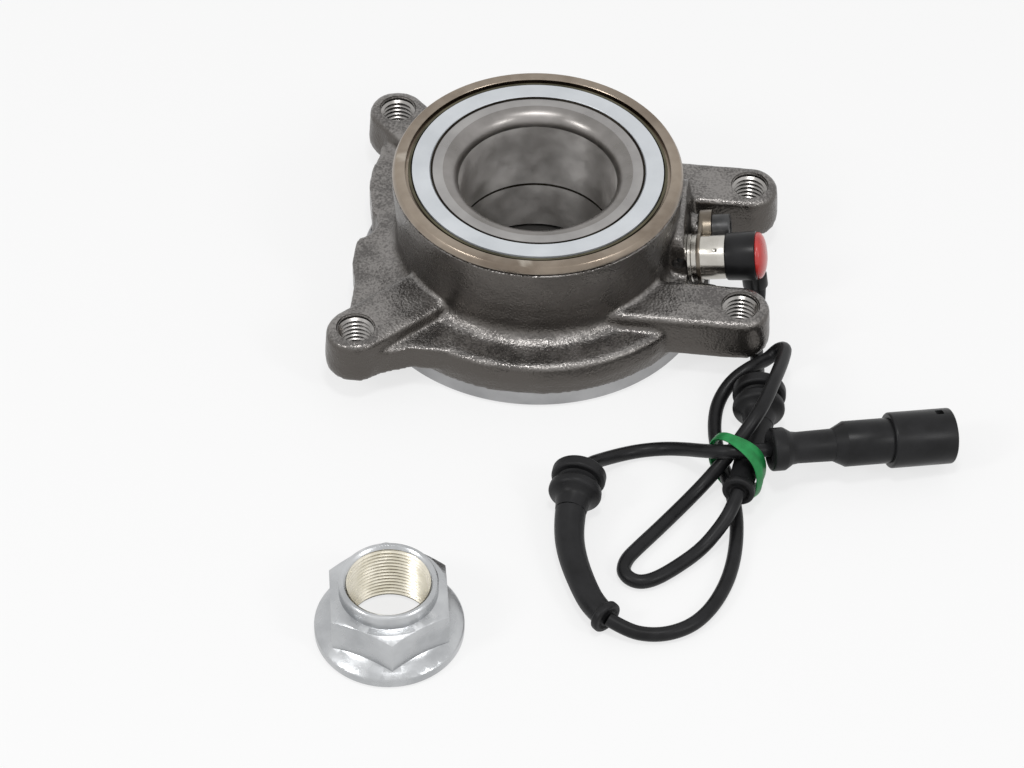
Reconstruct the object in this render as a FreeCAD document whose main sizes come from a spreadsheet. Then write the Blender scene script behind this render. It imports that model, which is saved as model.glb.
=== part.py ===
import FreeCAD, Part
import math
import os
import Sketcher

# Wheel hub bearing unit with a speed sensor, its lead and a separate hub nut.
# Frame: origin on the bearing axis at the foot of the spigot, +Z up the axis,
# +X towards the speed sensor, which sits between the two right-hand ears.

doc = FreeCAD.newDocument("WheelHub")
sheet = doc.addObject("Spreadsheet::Sheet", "Dims")


class Size:
    """A length that keeps its number and the sheet formula behind it."""

    def __init__(self, value, text):
        self.value = value
        self.text = text

    def __add__(self, other):
        other = asSize(other)
        return Size(self.value + other.value, "(%s + %s)" % (self.text, other.text))

    def __sub__(self, other):
        other = asSize(other)
        return Size(self.value - other.value, "(%s - %s)" % (self.text, other.text))

    def __mul__(self, factor):
        return Size(self.value * factor, "(%s * %s)" % (self.text, factor))

    def __truediv__(self, factor):
        return Size(self.value / factor, "(%s / %s)" % (self.text, factor))

    def __neg__(self):
        return Size(-self.value, "(0 - %s)" % self.text)


def asSize(value):
    if isinstance(value, Size):
        return value
    return Size(float(value), repr(float(value)))


def writeSizes(rows):
    sizes = {}
    for row, (alias, value) in enumerate(rows.items(), start=1):
        sheet.set("A%d" % row, alias.replace("_", " "))
        sheet.set("B%d" % row, str(value))
        sheet.setAlias("B%d" % row, alias)
        sizes[alias] = Size(float(value), "Dims." + alias)
    return sizes


SIZES = {
    "ring_top": 52.4,  # outer ring, overall height
    "rim_radius": 47.5,  # outer ring, flat top edge
    "rim_band_radius": 48.6,  # outer ring, turned band under the rim
    "rim_band_height": 6.2,  # outer ring, height of the turned band
    "rim_chamfer": 1.5,  # outer ring, height of the rim chamfer
    "neck_radius": 47.2,  # forged neck
    "neck_fillet": 5.5,  # fillet between neck and flange
    "spigot_radius": 60.0,  # locating spigot
    "spigot_height": 7.0,  # locating spigot
    "spigot_chamfer": 1.0,  # chamfer at the foot of the spigot
    "flange_radius": 61.8,  # forged flange
    "flange_top": 19.5,  # forged flange, top at its edge
    "flange_edge": 2.6,  # rounding of the flange's top edge
    "parting_height": 13.0,  # forging parting line
    "parting_bulge": 0.7,  # how far the parting line stands out
    "relief_inner": 46.5,  # turned relief under the spigot
    "relief_outer": 56.0,  # turned relief under the spigot
    "relief_depth": 1.5,  # turned relief under the spigot
    "ear_top": 25.0,  # top face of the ears
    "ear_circle_radius": 76.75,  # circle of the ear holes
    "ear_foot": 9.8,  # underside of the ears
    "ear_half_width": 10.4,  # half width of an ear at its parting line
    "ear_edge": 2.4,  # rounding of an ear's top edge
    "ear_root": 40.0,  # where an ear starts inside the neck
    "ear_hole_radius": 5.1,  # tapped hole for a twelve millimetre bolt
    "ear_hole_mouth": 0.9,  # chamfer at the mouth of an ear hole
    "web_reach": 60.6,  # left web, reach of the front lobe
    "web_rear_reach": 60.0,  # left web, reach of the rear lobe
    "web_side": 58.4,  # left web, reach of its straight ends
    "web_waist": 57.4,  # left web, where the rear lobe leaves the scallop
    "lobe_front_near": 9.0,  # front lobe, side towards the scallop
    "lobe_front_far": 17.5,  # front lobe, side towards the ear
    "lobe_front_foot": 27.5,  # front lobe, where it meets the straight end
    "lobe_rear_near": 9.0,  # rear lobe, foot in the scallop
    "lobe_rear_start": 21.0,  # rear lobe, side towards the scallop
    "lobe_rear_far": 29.0,  # rear lobe, side towards the ear
    "lobe_rear_foot": 35.0,  # rear lobe, where it meets the straight end
    "web_half_width": 41.0,  # left web, half its width
    "scallop_radius": 8.5,  # scallop between the two left lobes
    "scallop_reach": 63.2,  # centre of the scallop
    "scallop_side": 1.5,  # centre of the scallop
    "fairing_tip_x": 46.0,  # fairing between a left ear and the flange, outer end
    "fairing_tip_y": 60.6,  # fairing, outer end
    "fairing_bend_x": 36.0,  # fairing, bend
    "fairing_bend_y": 56.0,  # fairing, bend
    "fairing_foot_x": 24.0,  # fairing, where it meets the flange
    "fairing_foot_y": 56.4,  # fairing, where it meets the flange
    "fairing_inside": 38.0,  # fairing, end inside the neck
    "boss_face": 52.5,  # machined face that carries the sensor
    "boss_root": 40.9,  # where the sensor boss starts inside the neck
    "boss_top": 36.0,  # top of the sensor boss
    "boss_front": 12.0,  # front side of the sensor boss
    "boss_rear": 21.0,  # rear side of the sensor boss
    "boss_edge": 5.0,  # rounding of the boss
    "milled_half_width": 18.6,  # half of the flat milled between the right ears
    "spacer_radius": 5.5,  # raised seat under the bracket's screw
    "bore_radius": 26.5,  # inner ring bore
    "bore_lead": 5.0,  # rounding at the top of the bore
    "bore_edge": 0.5,  # chamfer at the other bore edges
    "split_height": 20.0,  # where the two inner rings meet
    "inner_top": 51.5,  # top face of the upper inner ring
    "inner_foot": 0.6,  # foot of the lower inner ring
    "inner_shoulder": 35.4,  # seal land of the inner rings
    "ball_radius": 5.556,  # ball, seven sixteenths of an inch
    "ball_pitch": 37.2,  # radius of the ball centres
    "upper_row": 39.5,  # height of the upper ball row
    "lower_row": 11.2,  # height of the lower ball row
    "race_gap": 0.08,  # running gap between ball and race
    "race_step": 0.12,  # open side of a race behind its groove
    "inner_step": 0.19,  # inner ring behind its groove
    "outer_land": 39.6,  # outer ring land between the rows
    "cage_inner": 35.9,  # cage, inner radius
    "cage_outer": 38.6,  # cage, outer radius
    "cage_half_height": 6.4,  # cage, half its height
    "pocket_gap": 0.16,  # gap between ball and cage pocket
    "tone_outer": 38.3,  # toothed ring, outer radius
    "tone_root": 35.6,  # toothed ring, root of the teeth
    "tone_width": 4.0,  # toothed ring, width
    "tone_foot": 17.95,  # toothed ring, lower face
    "tone_slot": 2.4,  # toothed ring, width of a tooth gap
    "seal_seat": 43.2,  # outer ring, seat of the seal carriers
    "seat_chamfer": 0.7,  # outer ring, lead-in of the seal seats
    "upper_seat_depth": 6.0,  # upper seal seat
    "lower_seat_depth": 4.5,  # lower seal seat
    "seal_sheet": 0.8,  # sheet thickness of the seal parts
    "flinger_outer": 41.9,  # flinger, outer radius
    "flinger_depth": 4.9,  # upper flinger, overall height
    "flinger_lift": 0.5,  # lower flinger, face above the foot
    "lip_reach": 1.6,  # how far the rubber covers the carrier web
    "flinger_drop": 0.5,  # flinger face below the rim
    "carrier_drop": 0.8,  # carrier edge below the rim
    "carrier_web_inner": 38.2,  # carrier, inner radius of its web
    "lip_gap": 0.25,  # gap between a seal lip and the flinger
    "sensor_side": -4.5,  # sensor axis, sideways from the bearing axis
    "sensor_height": 20.6,  # sensor axis, height at the boss face
    "probe_radius": 5.7,  # sensor probe
    "probe_reach": 7.7,  # sensor probe, depth behind the boss face
    "pole_radius": 2.4,  # sensor pole piece
    "pole_reach": 13.4,  # sensor pole piece, depth behind the boss face
    "probe_floor": 0.3,  # room at the bottom of the sensor's holes
    "probe_gap": 0.15,  # gap around the probe and the pole piece
    "o_ring_radius": 0.85,  # section of the sensor's sealing ring
    "o_ring_depth": 4.0,  # sealing ring, depth behind the boss face
    "sleeve_radius": 7.5,  # sensor sleeve
    "sleeve_wall": 0.9,  # sensor sleeve
    "sleeve_length": 12.6,  # sensor sleeve, from the boss face
    "sleeve_flange": 8.3,  # sensor sleeve, foot flange
    "sleeve_flange_height": 1.4,  # sensor sleeve, foot flange
    "sleeve_shoulder": 7.9,  # sensor sleeve, ring under the bracket
    "moulding_radius": 8.0,  # sensor moulding at its foot
    "moulding_flare": 0.35,  # how much the moulding widens
    "moulding_length": 10.2,  # sensor moulding
    "cap_radius": 7.9,  # sensor end cap
    "cap_height": 3.6,  # sensor end cap
    "exit_radius": 3.0,  # cable exit under the moulding
    "exit_reach": 14.0,  # cable exit, below the sensor axis
    "exit_place": 22.4,  # cable exit, from the boss face
    "exit_gap": 0.3,  # gap between the cable exit and the end cap
    "plate_seat": 3.2,  # bracket plate, height over the boss face
    "plate_thickness": 4.0,  # bracket, lug under the screw head
    "plate_margin": 1.0,  # bracket, metal around the sleeve
    "plate_ring": 1.2,  # bracket, thickness of its thin part around the sleeve
    "lug_margin": 1.7,  # bracket, metal around the screw head
    "screw_spacing": 14.0,  # screw axis to sensor axis
    "screw_shank": 2.95,  # screw, shank radius
    "screw_gap": 0.1,  # gap around the screw shank
    "screw_depth": 8.0,  # screw, depth behind the boss face
    "screw_head": 4.9,  # screw, head radius
    "screw_head_height": 6.0,  # screw, head
    "screw_socket": 2.9,  # screw, socket radius across corners
    "screw_socket_depth": 3.0,  # screw, socket
    "nut_x": -29.8,  # hub nut, place beside the hub
    "nut_y": -158.4,  # hub nut, place beside the hub
    "nut_flange": 23.3,  # hub nut, flange radius
    "nut_flange_edge": 3.2,  # hub nut, flange edge height
    "nut_cone_height": 6.4,  # hub nut, top of the conical flange
    "nut_hex": 36.0,  # hub nut, across flats
    "nut_hex_top": 18.6,  # hub nut, top of the hexagon
    "nut_collar": 15.3,  # hub nut, collar radius
    "nut_top": 23.6,  # hub nut, overall height
    "nut_bore": 12.75,  # hub nut, tapped hole for a 27 by 1.5 thread
    "nut_bore_edge": 1.1,  # hub nut, chamfers of the hole
    "cable_radius": 2.3,  # sensor lead
    "grommet_radius": 8.8,  # grommet discs
    "grommet_neck": 6.6,  # grommet, groove between the discs
    "grommet_disc": 4.2,  # grommet, thickness of a disc
    "grommet_groove": 2.6,  # grommet, width of the groove
    "grommet_tail": 5.2,  # grommet, radius where the sleeve starts
    "boot_radius": 4.3,  # rubber sleeve
    "boot_collar": 5.3,  # rubber sleeve, end collar radius
    "boot_collar_width": 2.4,  # rubber sleeve, end collar
    "plug_collar": 7.0,  # connector, rear collar radius
    "plug_collar_length": 6.4,  # connector, rear collar
    "plug_neck": 5.3,  # connector, neck radius
    "plug_neck_length": 14.4,  # connector, neck
    "plug_body": 7.4,  # connector, body radius
    "plug_body_length": 19.0,  # connector, body with its cone
    "plug_cone": 3.4,  # connector, length of the cone
    "plug_barrel": 9.1,  # connector, barrel radius
    "plug_barrel_length": 21.2,  # connector, barrel
    "plug_wall": 1.6,  # connector, barrel wall
    "plug_mouth": 15.0,  # connector, depth of the socket
    "pin_radius": 0.8,  # connector, contact pin
    "pin_length": 6.5,  # connector, contact pin
    "pin_spacing": 5.0,  # connector, between the two pins
    "key_width": 2.4,  # connector, locking slot
    "key_length": 4.0,  # connector, locking slot
    "insert_radius": 5.2,  # connector, insulator around the pins
    "insert_length": 3.0,  # connector, insulator around the pins
    "band_half_width": 10.4,  # elastic band, half its width around the bundle
    "band_half_height": 10.6,  # elastic band, half its height around the bundle
    "band_corner": 4.4,  # elastic band, corner radius
    "band_gauge": 0.8,  # elastic band, thickness
    "band_strip": 2.0,  # elastic band, width of its strip
}
D = writeSizes(SIZES)

BALL_COUNT = 16
TOOTH_COUNT = 44
SENSOR_TILT = 9.5
EAR_SPREAD_RIGHT = 22.5
EAR_SPREAD_LEFT = 135.0
EAR_DRAFT = 4.0
NUT_TURN = -80.0
BRIDGE_FACTOR = 0.45
SLACK = 0.01

# Lead: corner points of its route, from the sensor to the connector
ROUTE_SENSOR = [
    (76.9, -4.5, 10.5), (77.2, -4.9, 5.9), (77.0, -8.5, 2.4), (77.2, -15.5, 2.4),
    (77.3, -25.4, 2.4), (78.3, -34.2, 2.4), (78.7, -43.1, 5.0), (79.3, -51.3, 8.9)]
SLEEVE_SENSOR = [
    (79.6, -67.4, 8.9), (78.6, -74.4, 8.6), (77.1, -83.3, 8.7), (75.8, -91.9, 9.5),
    (74.6, -99.0, 10.4)]
ROUTE_MIDDLE = [
    (74.6, -99.0, 10.4), (73.1, -105.3, 9.2), (69.5, -111.1, 5.8), (64.3, -117.6, 2.4),
    (56.4, -126.2, 2.4), (50.2, -131.6, 2.4), (44.9, -133.2, 2.4), (40.4, -129.9, 2.4),
    (40.9, -124.4, 2.4), (44.6, -118.6, 2.4), (50.1, -110.6, 2.4), (57.1, -99.9, 2.4),
    (62.8, -92.4, 4.2), (67.2, -87.8, 7.8), (70.9, -84.7, 12.2), (74.4, -80.4, 16.6),
    (78.2, -75.0, 19.8), (81.4, -67.1, 21.0), (83.4, -58.7, 20.6), (85.0, -51.2, 18.8),
    (86.2, -44.0, 16.8), (86.9, -37.4, 14.9), (84.6, -34.3, 11.0), (81.2, -36.9, 8.0),
    (76.4, -42.6, 10.4), (70.0, -46.8, 7.2), (66.0, -53.6, 3.6), (65.3, -62.4, 2.4),
    (66.5, -72.0, 2.5), (69.0, -81.0, 3.1), (71.6, -89.2, 4.0), (73.7, -95.6, 2.4),
    (75.0, -103.6, 2.4), (75.4, -112.2, 2.4), (74.9, -121.3, 2.4), (73.2, -130.5, 2.4), (69.5, -140.3, 2.4),
    (64.2, -147.9, 2.4), (57.4, -152.2, 2.4), (50.7, -153.7, 2.4), (43.8, -153.6, 3.5),
    (37.5, -151.2, 5.45)]
SLEEVE_CONNECTOR = [
    (22.2, -110.8, 8.5), (22.0, -117.7, 6.9), (24.2, -128.0, 5.7), (28.9, -139.5, 5.4),
    (33.0, -147.0, 5.4), (37.5, -151.2, 5.45)]
ROUTE_CONNECTOR = [
    (23.7, -94.9, 9.5), (26.1, -90.6, 8.6), (30.2, -85.4, 5.4), (35.8, -80.4, 3.0),
    (42.6, -77.2, 2.4), (50.0, -76.6, 3.6), (56.6, -79.2, 7.0), (62.8, -84.0, 12.2),
    (69.3, -88.4, 17.5), (77.0, -87.1, 17.3), (83.8, -84.3, 15.8)]
CONNECTOR_REAR = (83.8, -84.3, 15.8)
CONNECTOR_FRONT = (145.0, -65.2, 9.9)
CONNECTOR_ROLL = 40.0
BAND_PLACE = (73.65, -85.98, 10.71)
BAND_TILT = -35.4


# Building blocks shared by the sub-parts

def newBody(name):
    body = doc.addObject("PartDesign::Body", name)
    body.Label = name
    return body


def originPart(body, role):
    for feature in body.Origin.OriginFeatures:
        if feature.Role == role:
            return feature
    raise ValueError("no origin feature called " + role)


def newSketch(body, role, lift=None, turn=None):
    sketch = body.newObject("Sketcher::SketchObject", body.Name + "_sketch")
    sketch.AttachmentSupport = [(originPart(body, role), "")]
    sketch.MapMode = "FlatFace"
    if turn is not None:
        sketch.AttachmentOffset = FreeCAD.Placement(FreeCAD.Vector(), turn)
    if lift is not None:
        sketch.setExpression("AttachmentOffset.Base.z", asSize(lift).text)
    return sketch


def placePoint(sketch, edge, end, x, y):
    for kind, size in (("DistanceX", asSize(x)), ("DistanceY", asSize(y))):
        if size.text == "0.0":
            axis = -2 if kind == "DistanceX" else -1
            sketch.addConstraint(Sketcher.Constraint("PointOnObject", edge, end, axis))
        else:
            index = sketch.addConstraint(Sketcher.Constraint(kind, edge, end, size.value))
            sketch.setExpression("Constraints[%d]" % index, size.text)


def polygon(sketch, corners):
    corners = [(asSize(x), asSize(y)) for x, y in corners]
    count = len(corners)
    for index in range(count):
        x0, y0 = corners[index]
        x1, y1 = corners[(index + 1) % count]
        start = FreeCAD.Vector(x0.value, y0.value, 0)
        end = FreeCAD.Vector(x1.value, y1.value, 0)
        sketch.addGeometry(Part.LineSegment(start, end), False)
    for index in range(count):
        sketch.addConstraint(Sketcher.Constraint("Coincident", index, 2, (index + 1) % count, 1))
    for index, (x, y) in enumerate(corners):
        placePoint(sketch, index, 1, x, y)
    return sketch


def circle(sketch, x, y, radius):
    x, y, radius = asSize(x), asSize(y), asSize(radius)
    centre = FreeCAD.Vector(x.value, y.value, 0)
    up = FreeCAD.Vector(0, 0, 1)
    edge = sketch.addGeometry(Part.Circle(centre, up, radius.value), False)
    placePoint(sketch, edge, 3, x, y)
    index = sketch.addConstraint(Sketcher.Constraint("Radius", edge, radius.value))
    sketch.setExpression("Constraints[%d]" % index, radius.text)
    return sketch


def tongue(sketch, root, end, middle, halfWidth):
    # a strap along the sketch's X axis with a round end
    root, end, middle, halfWidth = [asSize(value) for value in (root, end, middle, halfWidth)]
    low = middle - halfWidth
    high = middle + halfWidth
    points = [(root, high), (root, low), (end, low), (end, high)]
    flat = [FreeCAD.Vector(x.value, y.value, 0) for x, y in points]
    sketch.addGeometry(Part.LineSegment(flat[0], flat[1]), False)
    sketch.addGeometry(Part.LineSegment(flat[1], flat[2]), False)
    tip = FreeCAD.Vector(end.value + halfWidth.value, middle.value, 0)
    sketch.addGeometry(Part.Arc(flat[2], tip, flat[3]), False)
    sketch.addGeometry(Part.LineSegment(flat[3], flat[0]), False)
    for index in range(4):
        sketch.addConstraint(Sketcher.Constraint("Coincident", index, 2, (index + 1) % 4, 1))
    for index, point in enumerate(points):
        placePoint(sketch, index, 1, *point)
    index = sketch.addConstraint(Sketcher.Constraint("DistanceX", 2, 3, end.value))
    sketch.setExpression("Constraints[%d]" % index, end.text)
    return sketch


def spin(body, kind, sketch):
    feature = body.newObject("PartDesign::" + kind, body.Name + "_" + kind.lower())
    feature.Profile = sketch
    feature.ReferenceAxis = (sketch, ["V_Axis"])
    feature.Angle = 360.0
    doc.recompute()
    return feature


def turned(body, corners):
    return spin(body, "Revolution", polygon(newSketch(body, "XZ_Plane"), corners))


def turnedCut(body, corners):
    return spin(body, "Groove", polygon(newSketch(body, "XZ_Plane"), corners))


def raceCut(body, radius, height, section):
    return spin(body, "Groove", circle(newSketch(body, "XZ_Plane"), radius, height, section))


def pad(body, sketch, length, down=False, taper=0.0):
    feature = body.newObject("PartDesign::Pad", body.Name + "_pad")
    feature.Profile = sketch
    feature.setExpression("Length", asSize(length).text)
    feature.Reversed = down
    feature.TaperAngle = taper
    doc.recompute()
    return feature


def pocket(body, sketch, length=None):
    feature = body.newObject("PartDesign::Pocket", body.Name + "_pocket")
    feature.Profile = sketch
    if length is None:
        feature.Type = 1
        feature.Midplane = True
    else:
        feature.setExpression("Length", asSize(length).text)
    doc.recompute()
    return feature


def pickEdges(feature, test):
    found = []
    for index, edge in enumerate(feature.Shape.Edges, start=1):
        middle = edge.valueAt((edge.FirstParameter + edge.LastParameter) / 2)
        if test(edge, middle):
            found.append("Edge%d" % index)
    return found


def roundEdges(body, kind, size, test):
    base = body.Tip
    names = pickEdges(base, test)
    if not names:
        raise ValueError("no edge to round on " + body.Name)
    feature = body.newObject("PartDesign::" + kind, body.Name + "_" + kind.lower())
    feature.Base = (base, names)
    feature.setExpression("Radius" if kind == "Fillet" else "Size", asSize(size).text)
    doc.recompute()
    return feature


def atHeight(height):
    height = asSize(height).value
    return lambda edge, middle: abs(edge.BoundBox.ZMin - height) < SLACK and \
        abs(edge.BoundBox.ZMax - height) < SLACK


def ringAt(radius, height):
    # the full circle of this radius at this height
    radius = asSize(radius).value
    level = atHeight(height)

    def test(edge, middle):
        return level(edge, middle) and abs(math.hypot(middle.x, middle.y) - radius) < SLACK
    return test


def solidFeature(name, shape, placement=None):
    feature = doc.addObject("Part::Feature", name)
    feature.Label = name
    feature.Shape = shape
    if placement is not None:
        feature.Placement = placement
    return feature


def aimed(origin, direction, roll=0.0):
    # placement that lays a sub-part's own Z axis along a direction
    turn = FreeCAD.Rotation(FreeCAD.Vector(0, 0, 1), FreeCAD.Vector(*direction))
    twist = FreeCAD.Rotation(FreeCAD.Vector(0, 0, 1), roll)
    return FreeCAD.Placement(FreeCAD.Vector(*origin), turn.multiply(twist))


# Outer ring: one forging with spigot, flange, four ears and the sensor boss

def makeOuterRing():
    body = newBody("outer_ring")
    bandFoot = D["ring_top"] - D["rim_chamfer"] - D["rim_band_height"]
    flangeEdge = D["flange_radius"] - D["parting_bulge"]
    turned(body, [
        (0, 0),
        (D["spigot_radius"] - D["spigot_chamfer"], 0),
        (D["spigot_radius"], D["spigot_chamfer"]),
        (D["spigot_radius"], D["spigot_height"]),
        (flangeEdge, D["spigot_height"]),
        (D["flange_radius"], D["parting_height"]),
        (flangeEdge, D["flange_top"]),
        (D["neck_radius"], D["flange_top"]),
        (D["neck_radius"], bandFoot),
        (D["rim_band_radius"], bandFoot + D["rim_band_radius"] - D["neck_radius"]),
        (D["rim_band_radius"], D["ring_top"] - D["rim_chamfer"]),
        (D["rim_radius"], D["ring_top"]),
        (0, D["ring_top"]),
    ])
    roundEdges(body, "Fillet", D["neck_fillet"], ringAt(D["neck_radius"], D["flange_top"]))
    roundEdges(body, "Fillet", D["flange_edge"], ringAt(flangeEdge, D["flange_top"]))
    addWeb(body)
    addFairings(body)
    addEars(body)
    addBoss(body)
    cutCavity(body)
    cutEarHoles(body)
    cutSensorSeat(body)
    return body


def addWeb(body):
    # plate that joins the two left ears: a front and a rear lobe with a scallop between them
    side = D["web_half_width"]
    beyond = D["flange_radius"] + D["flange_edge"]
    outline = [
        (-D["web_side"], -side),
        (-D["web_side"], -D["lobe_front_foot"]),
        (-D["web_reach"], -D["lobe_front_far"]),
        (-D["web_reach"], -D["lobe_front_near"]),
        (-D["web_waist"], D["lobe_rear_near"]),
        (-D["web_rear_reach"], D["lobe_rear_start"]),
        (-D["web_rear_reach"], D["lobe_rear_far"]),
        (-D["web_side"], D["lobe_rear_foot"]),
        (-D["web_side"], side),
    ]
    sketch = newSketch(body, "XY_Plane", D["spigot_height"])
    polygon(sketch, outline + [(-D["ear_root"], side), (-D["ear_root"], -side)])
    pad(body, sketch, D["flange_top"] - D["spigot_height"])
    above = D["ear_top"]
    depth = above - D["spigot_height"]
    sketch = newSketch(body, "XY_Plane", above)
    polygon(sketch, outline + [(-beyond, side), (-beyond, -side)])
    pocket(body, sketch, depth)
    sketch = newSketch(body, "XY_Plane", above)
    pocket(body, circle(sketch, -D["scallop_reach"], D["scallop_side"], D["scallop_radius"]), depth)


def addFairings(body):
    # metal between a left ear's lower level and the flange, on its outer side
    inside = D["fairing_inside"]
    for mirror in (1.0, -1.0):
        sketch = newSketch(body, "XY_Plane", D["ear_foot"])
        polygon(sketch, [
            (-inside, -inside * mirror),
            (-D["fairing_tip_x"], -D["fairing_tip_y"] * mirror),
            (-D["fairing_bend_x"], -D["fairing_bend_y"] * mirror),
            (-D["fairing_foot_x"], -D["fairing_foot_y"] * mirror),
            (-D["fairing_foot_x"], -inside * mirror),
        ])
        pad(body, sketch, D["flange_top"] - D["ear_foot"])


def earPlaces():
    # each ear: turn about the axis, then where its hole lies in the turned frame
    spread = math.radians(EAR_SPREAD_RIGHT)
    along = D["ear_circle_radius"] * math.cos(spread)
    across = D["ear_circle_radius"] * math.sin(spread)
    half = D["ear_root"] / 2
    return [
        (0.0, along, across, half),
        (0.0, along, -across, half),
        (EAR_SPREAD_LEFT, D["ear_circle_radius"], asSize(0), D["ear_root"]),
        (-EAR_SPREAD_LEFT, D["ear_circle_radius"], asSize(0), D["ear_root"]),
    ]


def addEars(body):
    for angle, end, middle, root in earPlaces():
        turn = FreeCAD.Rotation(FreeCAD.Vector(0, 0, 1), angle)
        above = D["ear_top"] - D["parting_height"]
        below = D["parting_height"] - D["ear_foot"]
        for down, length in ((False, above), (True, below)):
            sketch = newSketch(body, "XY_Plane", D["parting_height"], turn)
            tongue(sketch, root, end, middle, D["ear_half_width"])
            pad(body, sketch, length, down, -EAR_DRAFT)
    level = atHeight(D["ear_top"])
    reach = D["neck_radius"].value + D["neck_fillet"].value
    roundEdges(body, "Fillet", D["ear_edge"],
               lambda edge, middle: level(edge, middle) and math.hypot(middle.x, middle.y) > reach)


def addBoss(body):
    # block for the sensor, then a flat milled across it between the right ears
    slope = math.tan(math.radians(SENSOR_TILT))
    foot = D["boss_face"] + (D["sensor_height"] - D["spigot_height"]) * slope
    head = D["boss_face"] - (D["boss_top"] - D["sensor_height"]) * slope
    inside = D["boss_root"]
    sketch = newSketch(body, "XZ_Plane", -D["boss_rear"])
    polygon(sketch, [
        (inside, D["spigot_height"]),
        (foot, D["spigot_height"]),
        (head, D["boss_top"]),
        (inside, D["boss_top"]),
    ])
    pad(body, sketch, D["boss_front"] + D["boss_rear"])
    level = atHeight(D["boss_top"])
    roundEdges(body, "Fillet", D["boss_edge"],
               lambda edge, middle: level(edge, middle) and abs(edge.BoundBox.YLength) < SLACK)
    outside = D["flange_radius"] + D["boss_edge"]
    high = D["ear_top"] + D["boss_edge"]
    faceHigh = D["boss_face"] - (high - D["sensor_height"]) * slope
    sketch = newSketch(body, "XZ_Plane", -D["milled_half_width"])
    polygon(sketch, [
        (foot, D["spigot_height"]),
        (outside, D["spigot_height"]),
        (outside, high),
        (faceHigh, high),
    ])
    feature = pocket(body, sketch, D["milled_half_width"] * 2)
    feature.Reversed = True
    doc.recompute()


def cutCavity(body):
    seat = D["seal_seat"]
    lead = D["seat_chamfer"]
    beyond = lead * 2
    openSide = D["ball_pitch"] + D["ball_radius"] + D["race_gap"] + D["race_step"]
    top = D["ring_top"]
    turnedCut(body, [
        (0, -lead),
        (seat + beyond, -lead),
        (seat, lead),
        (seat, D["lower_seat_depth"]),
        (openSide, D["lower_seat_depth"]),
        (openSide, D["lower_row"]),
        (D["outer_land"], D["lower_row"]),
        (D["outer_land"], D["upper_row"]),
        (openSide, D["upper_row"]),
        (openSide, top - D["upper_seat_depth"]),
        (seat, top - D["upper_seat_depth"]),
        (seat, top - lead),
        (seat + beyond, top + lead),
        (0, top + lead),
    ])
    section = D["ball_radius"] + D["race_gap"]
    for row in (D["upper_row"], D["lower_row"]):
        raceCut(body, D["ball_pitch"], row, section)
    turnedCut(body, [
        (D["relief_inner"], -lead),
        (D["relief_outer"], -lead),
        (D["relief_outer"], D["relief_depth"]),
        (D["relief_inner"], D["relief_depth"]),
    ])


def cutEarHoles(body):
    mouths = []
    for angle, end, middle, root in earPlaces():
        turn = FreeCAD.Rotation(FreeCAD.Vector(0, 0, 1), angle)
        sketch = newSketch(body, "XY_Plane", D["ear_top"], turn)
        circle(sketch, end, middle, D["ear_hole_radius"])
        pocket(body, sketch, D["ear_top"])
        place = turn.multVec(FreeCAD.Vector(end.value, middle.value, 0))
        mouths.append((place.x, place.y))
    level = atHeight(D["ear_top"])
    radius = D["ear_hole_radius"].value

    def isMouth(edge, middle):
        return level(edge, middle) and any(
            abs(math.hypot(middle.x - x, middle.y - y) - radius) < SLACK for x, y in mouths)
    roundEdges(body, "Chamfer", D["ear_hole_mouth"], isMouth)


def sensorSketch(body, lift=None):
    # sketch on the tilted boss face, its origin on the sensor axis
    sketch = newSketch(body, "YZ_Plane")
    tilt = FreeCAD.Rotation(FreeCAD.Vector(1, 0, 0), -SENSOR_TILT)
    sketch.AttachmentOffset = FreeCAD.Placement(FreeCAD.Vector(), tilt)
    lift = asSize(0 if lift is None else lift)
    rise = math.sin(math.radians(SENSOR_TILT))
    run = math.cos(math.radians(SENSOR_TILT))
    sketch.setExpression("AttachmentOffset.Base.x", D["sensor_side"].text)
    sketch.setExpression("AttachmentOffset.Base.y", (D["sensor_height"] + lift * rise).text)
    sketch.setExpression("AttachmentOffset.Base.z", (D["boss_face"] + lift * run).text)
    return sketch


def cutSensorSeat(body):
    gap = D["probe_gap"]
    spacing = D["screw_spacing"]
    screwHole = D["screw_shank"] + D["screw_gap"]
    pad(body, circle(sensorSketch(body), spacing, 0, D["spacer_radius"]), D["plate_seat"])
    pocket(body, circle(sensorSketch(body), 0, 0, D["probe_radius"] + gap),
           D["probe_reach"] + D["probe_floor"])
    pocket(body, circle(sensorSketch(body), 0, 0, D["pole_radius"] + gap),
           D["pole_reach"] + D["probe_floor"])
    pocket(body, circle(sensorSketch(body, D["plate_seat"]), spacing, 0, screwHole),
           D["plate_seat"] + D["screw_depth"] + D["probe_floor"])


# Bearing: two inner rings, two rows of balls in cages, toothed ring and seals

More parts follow.
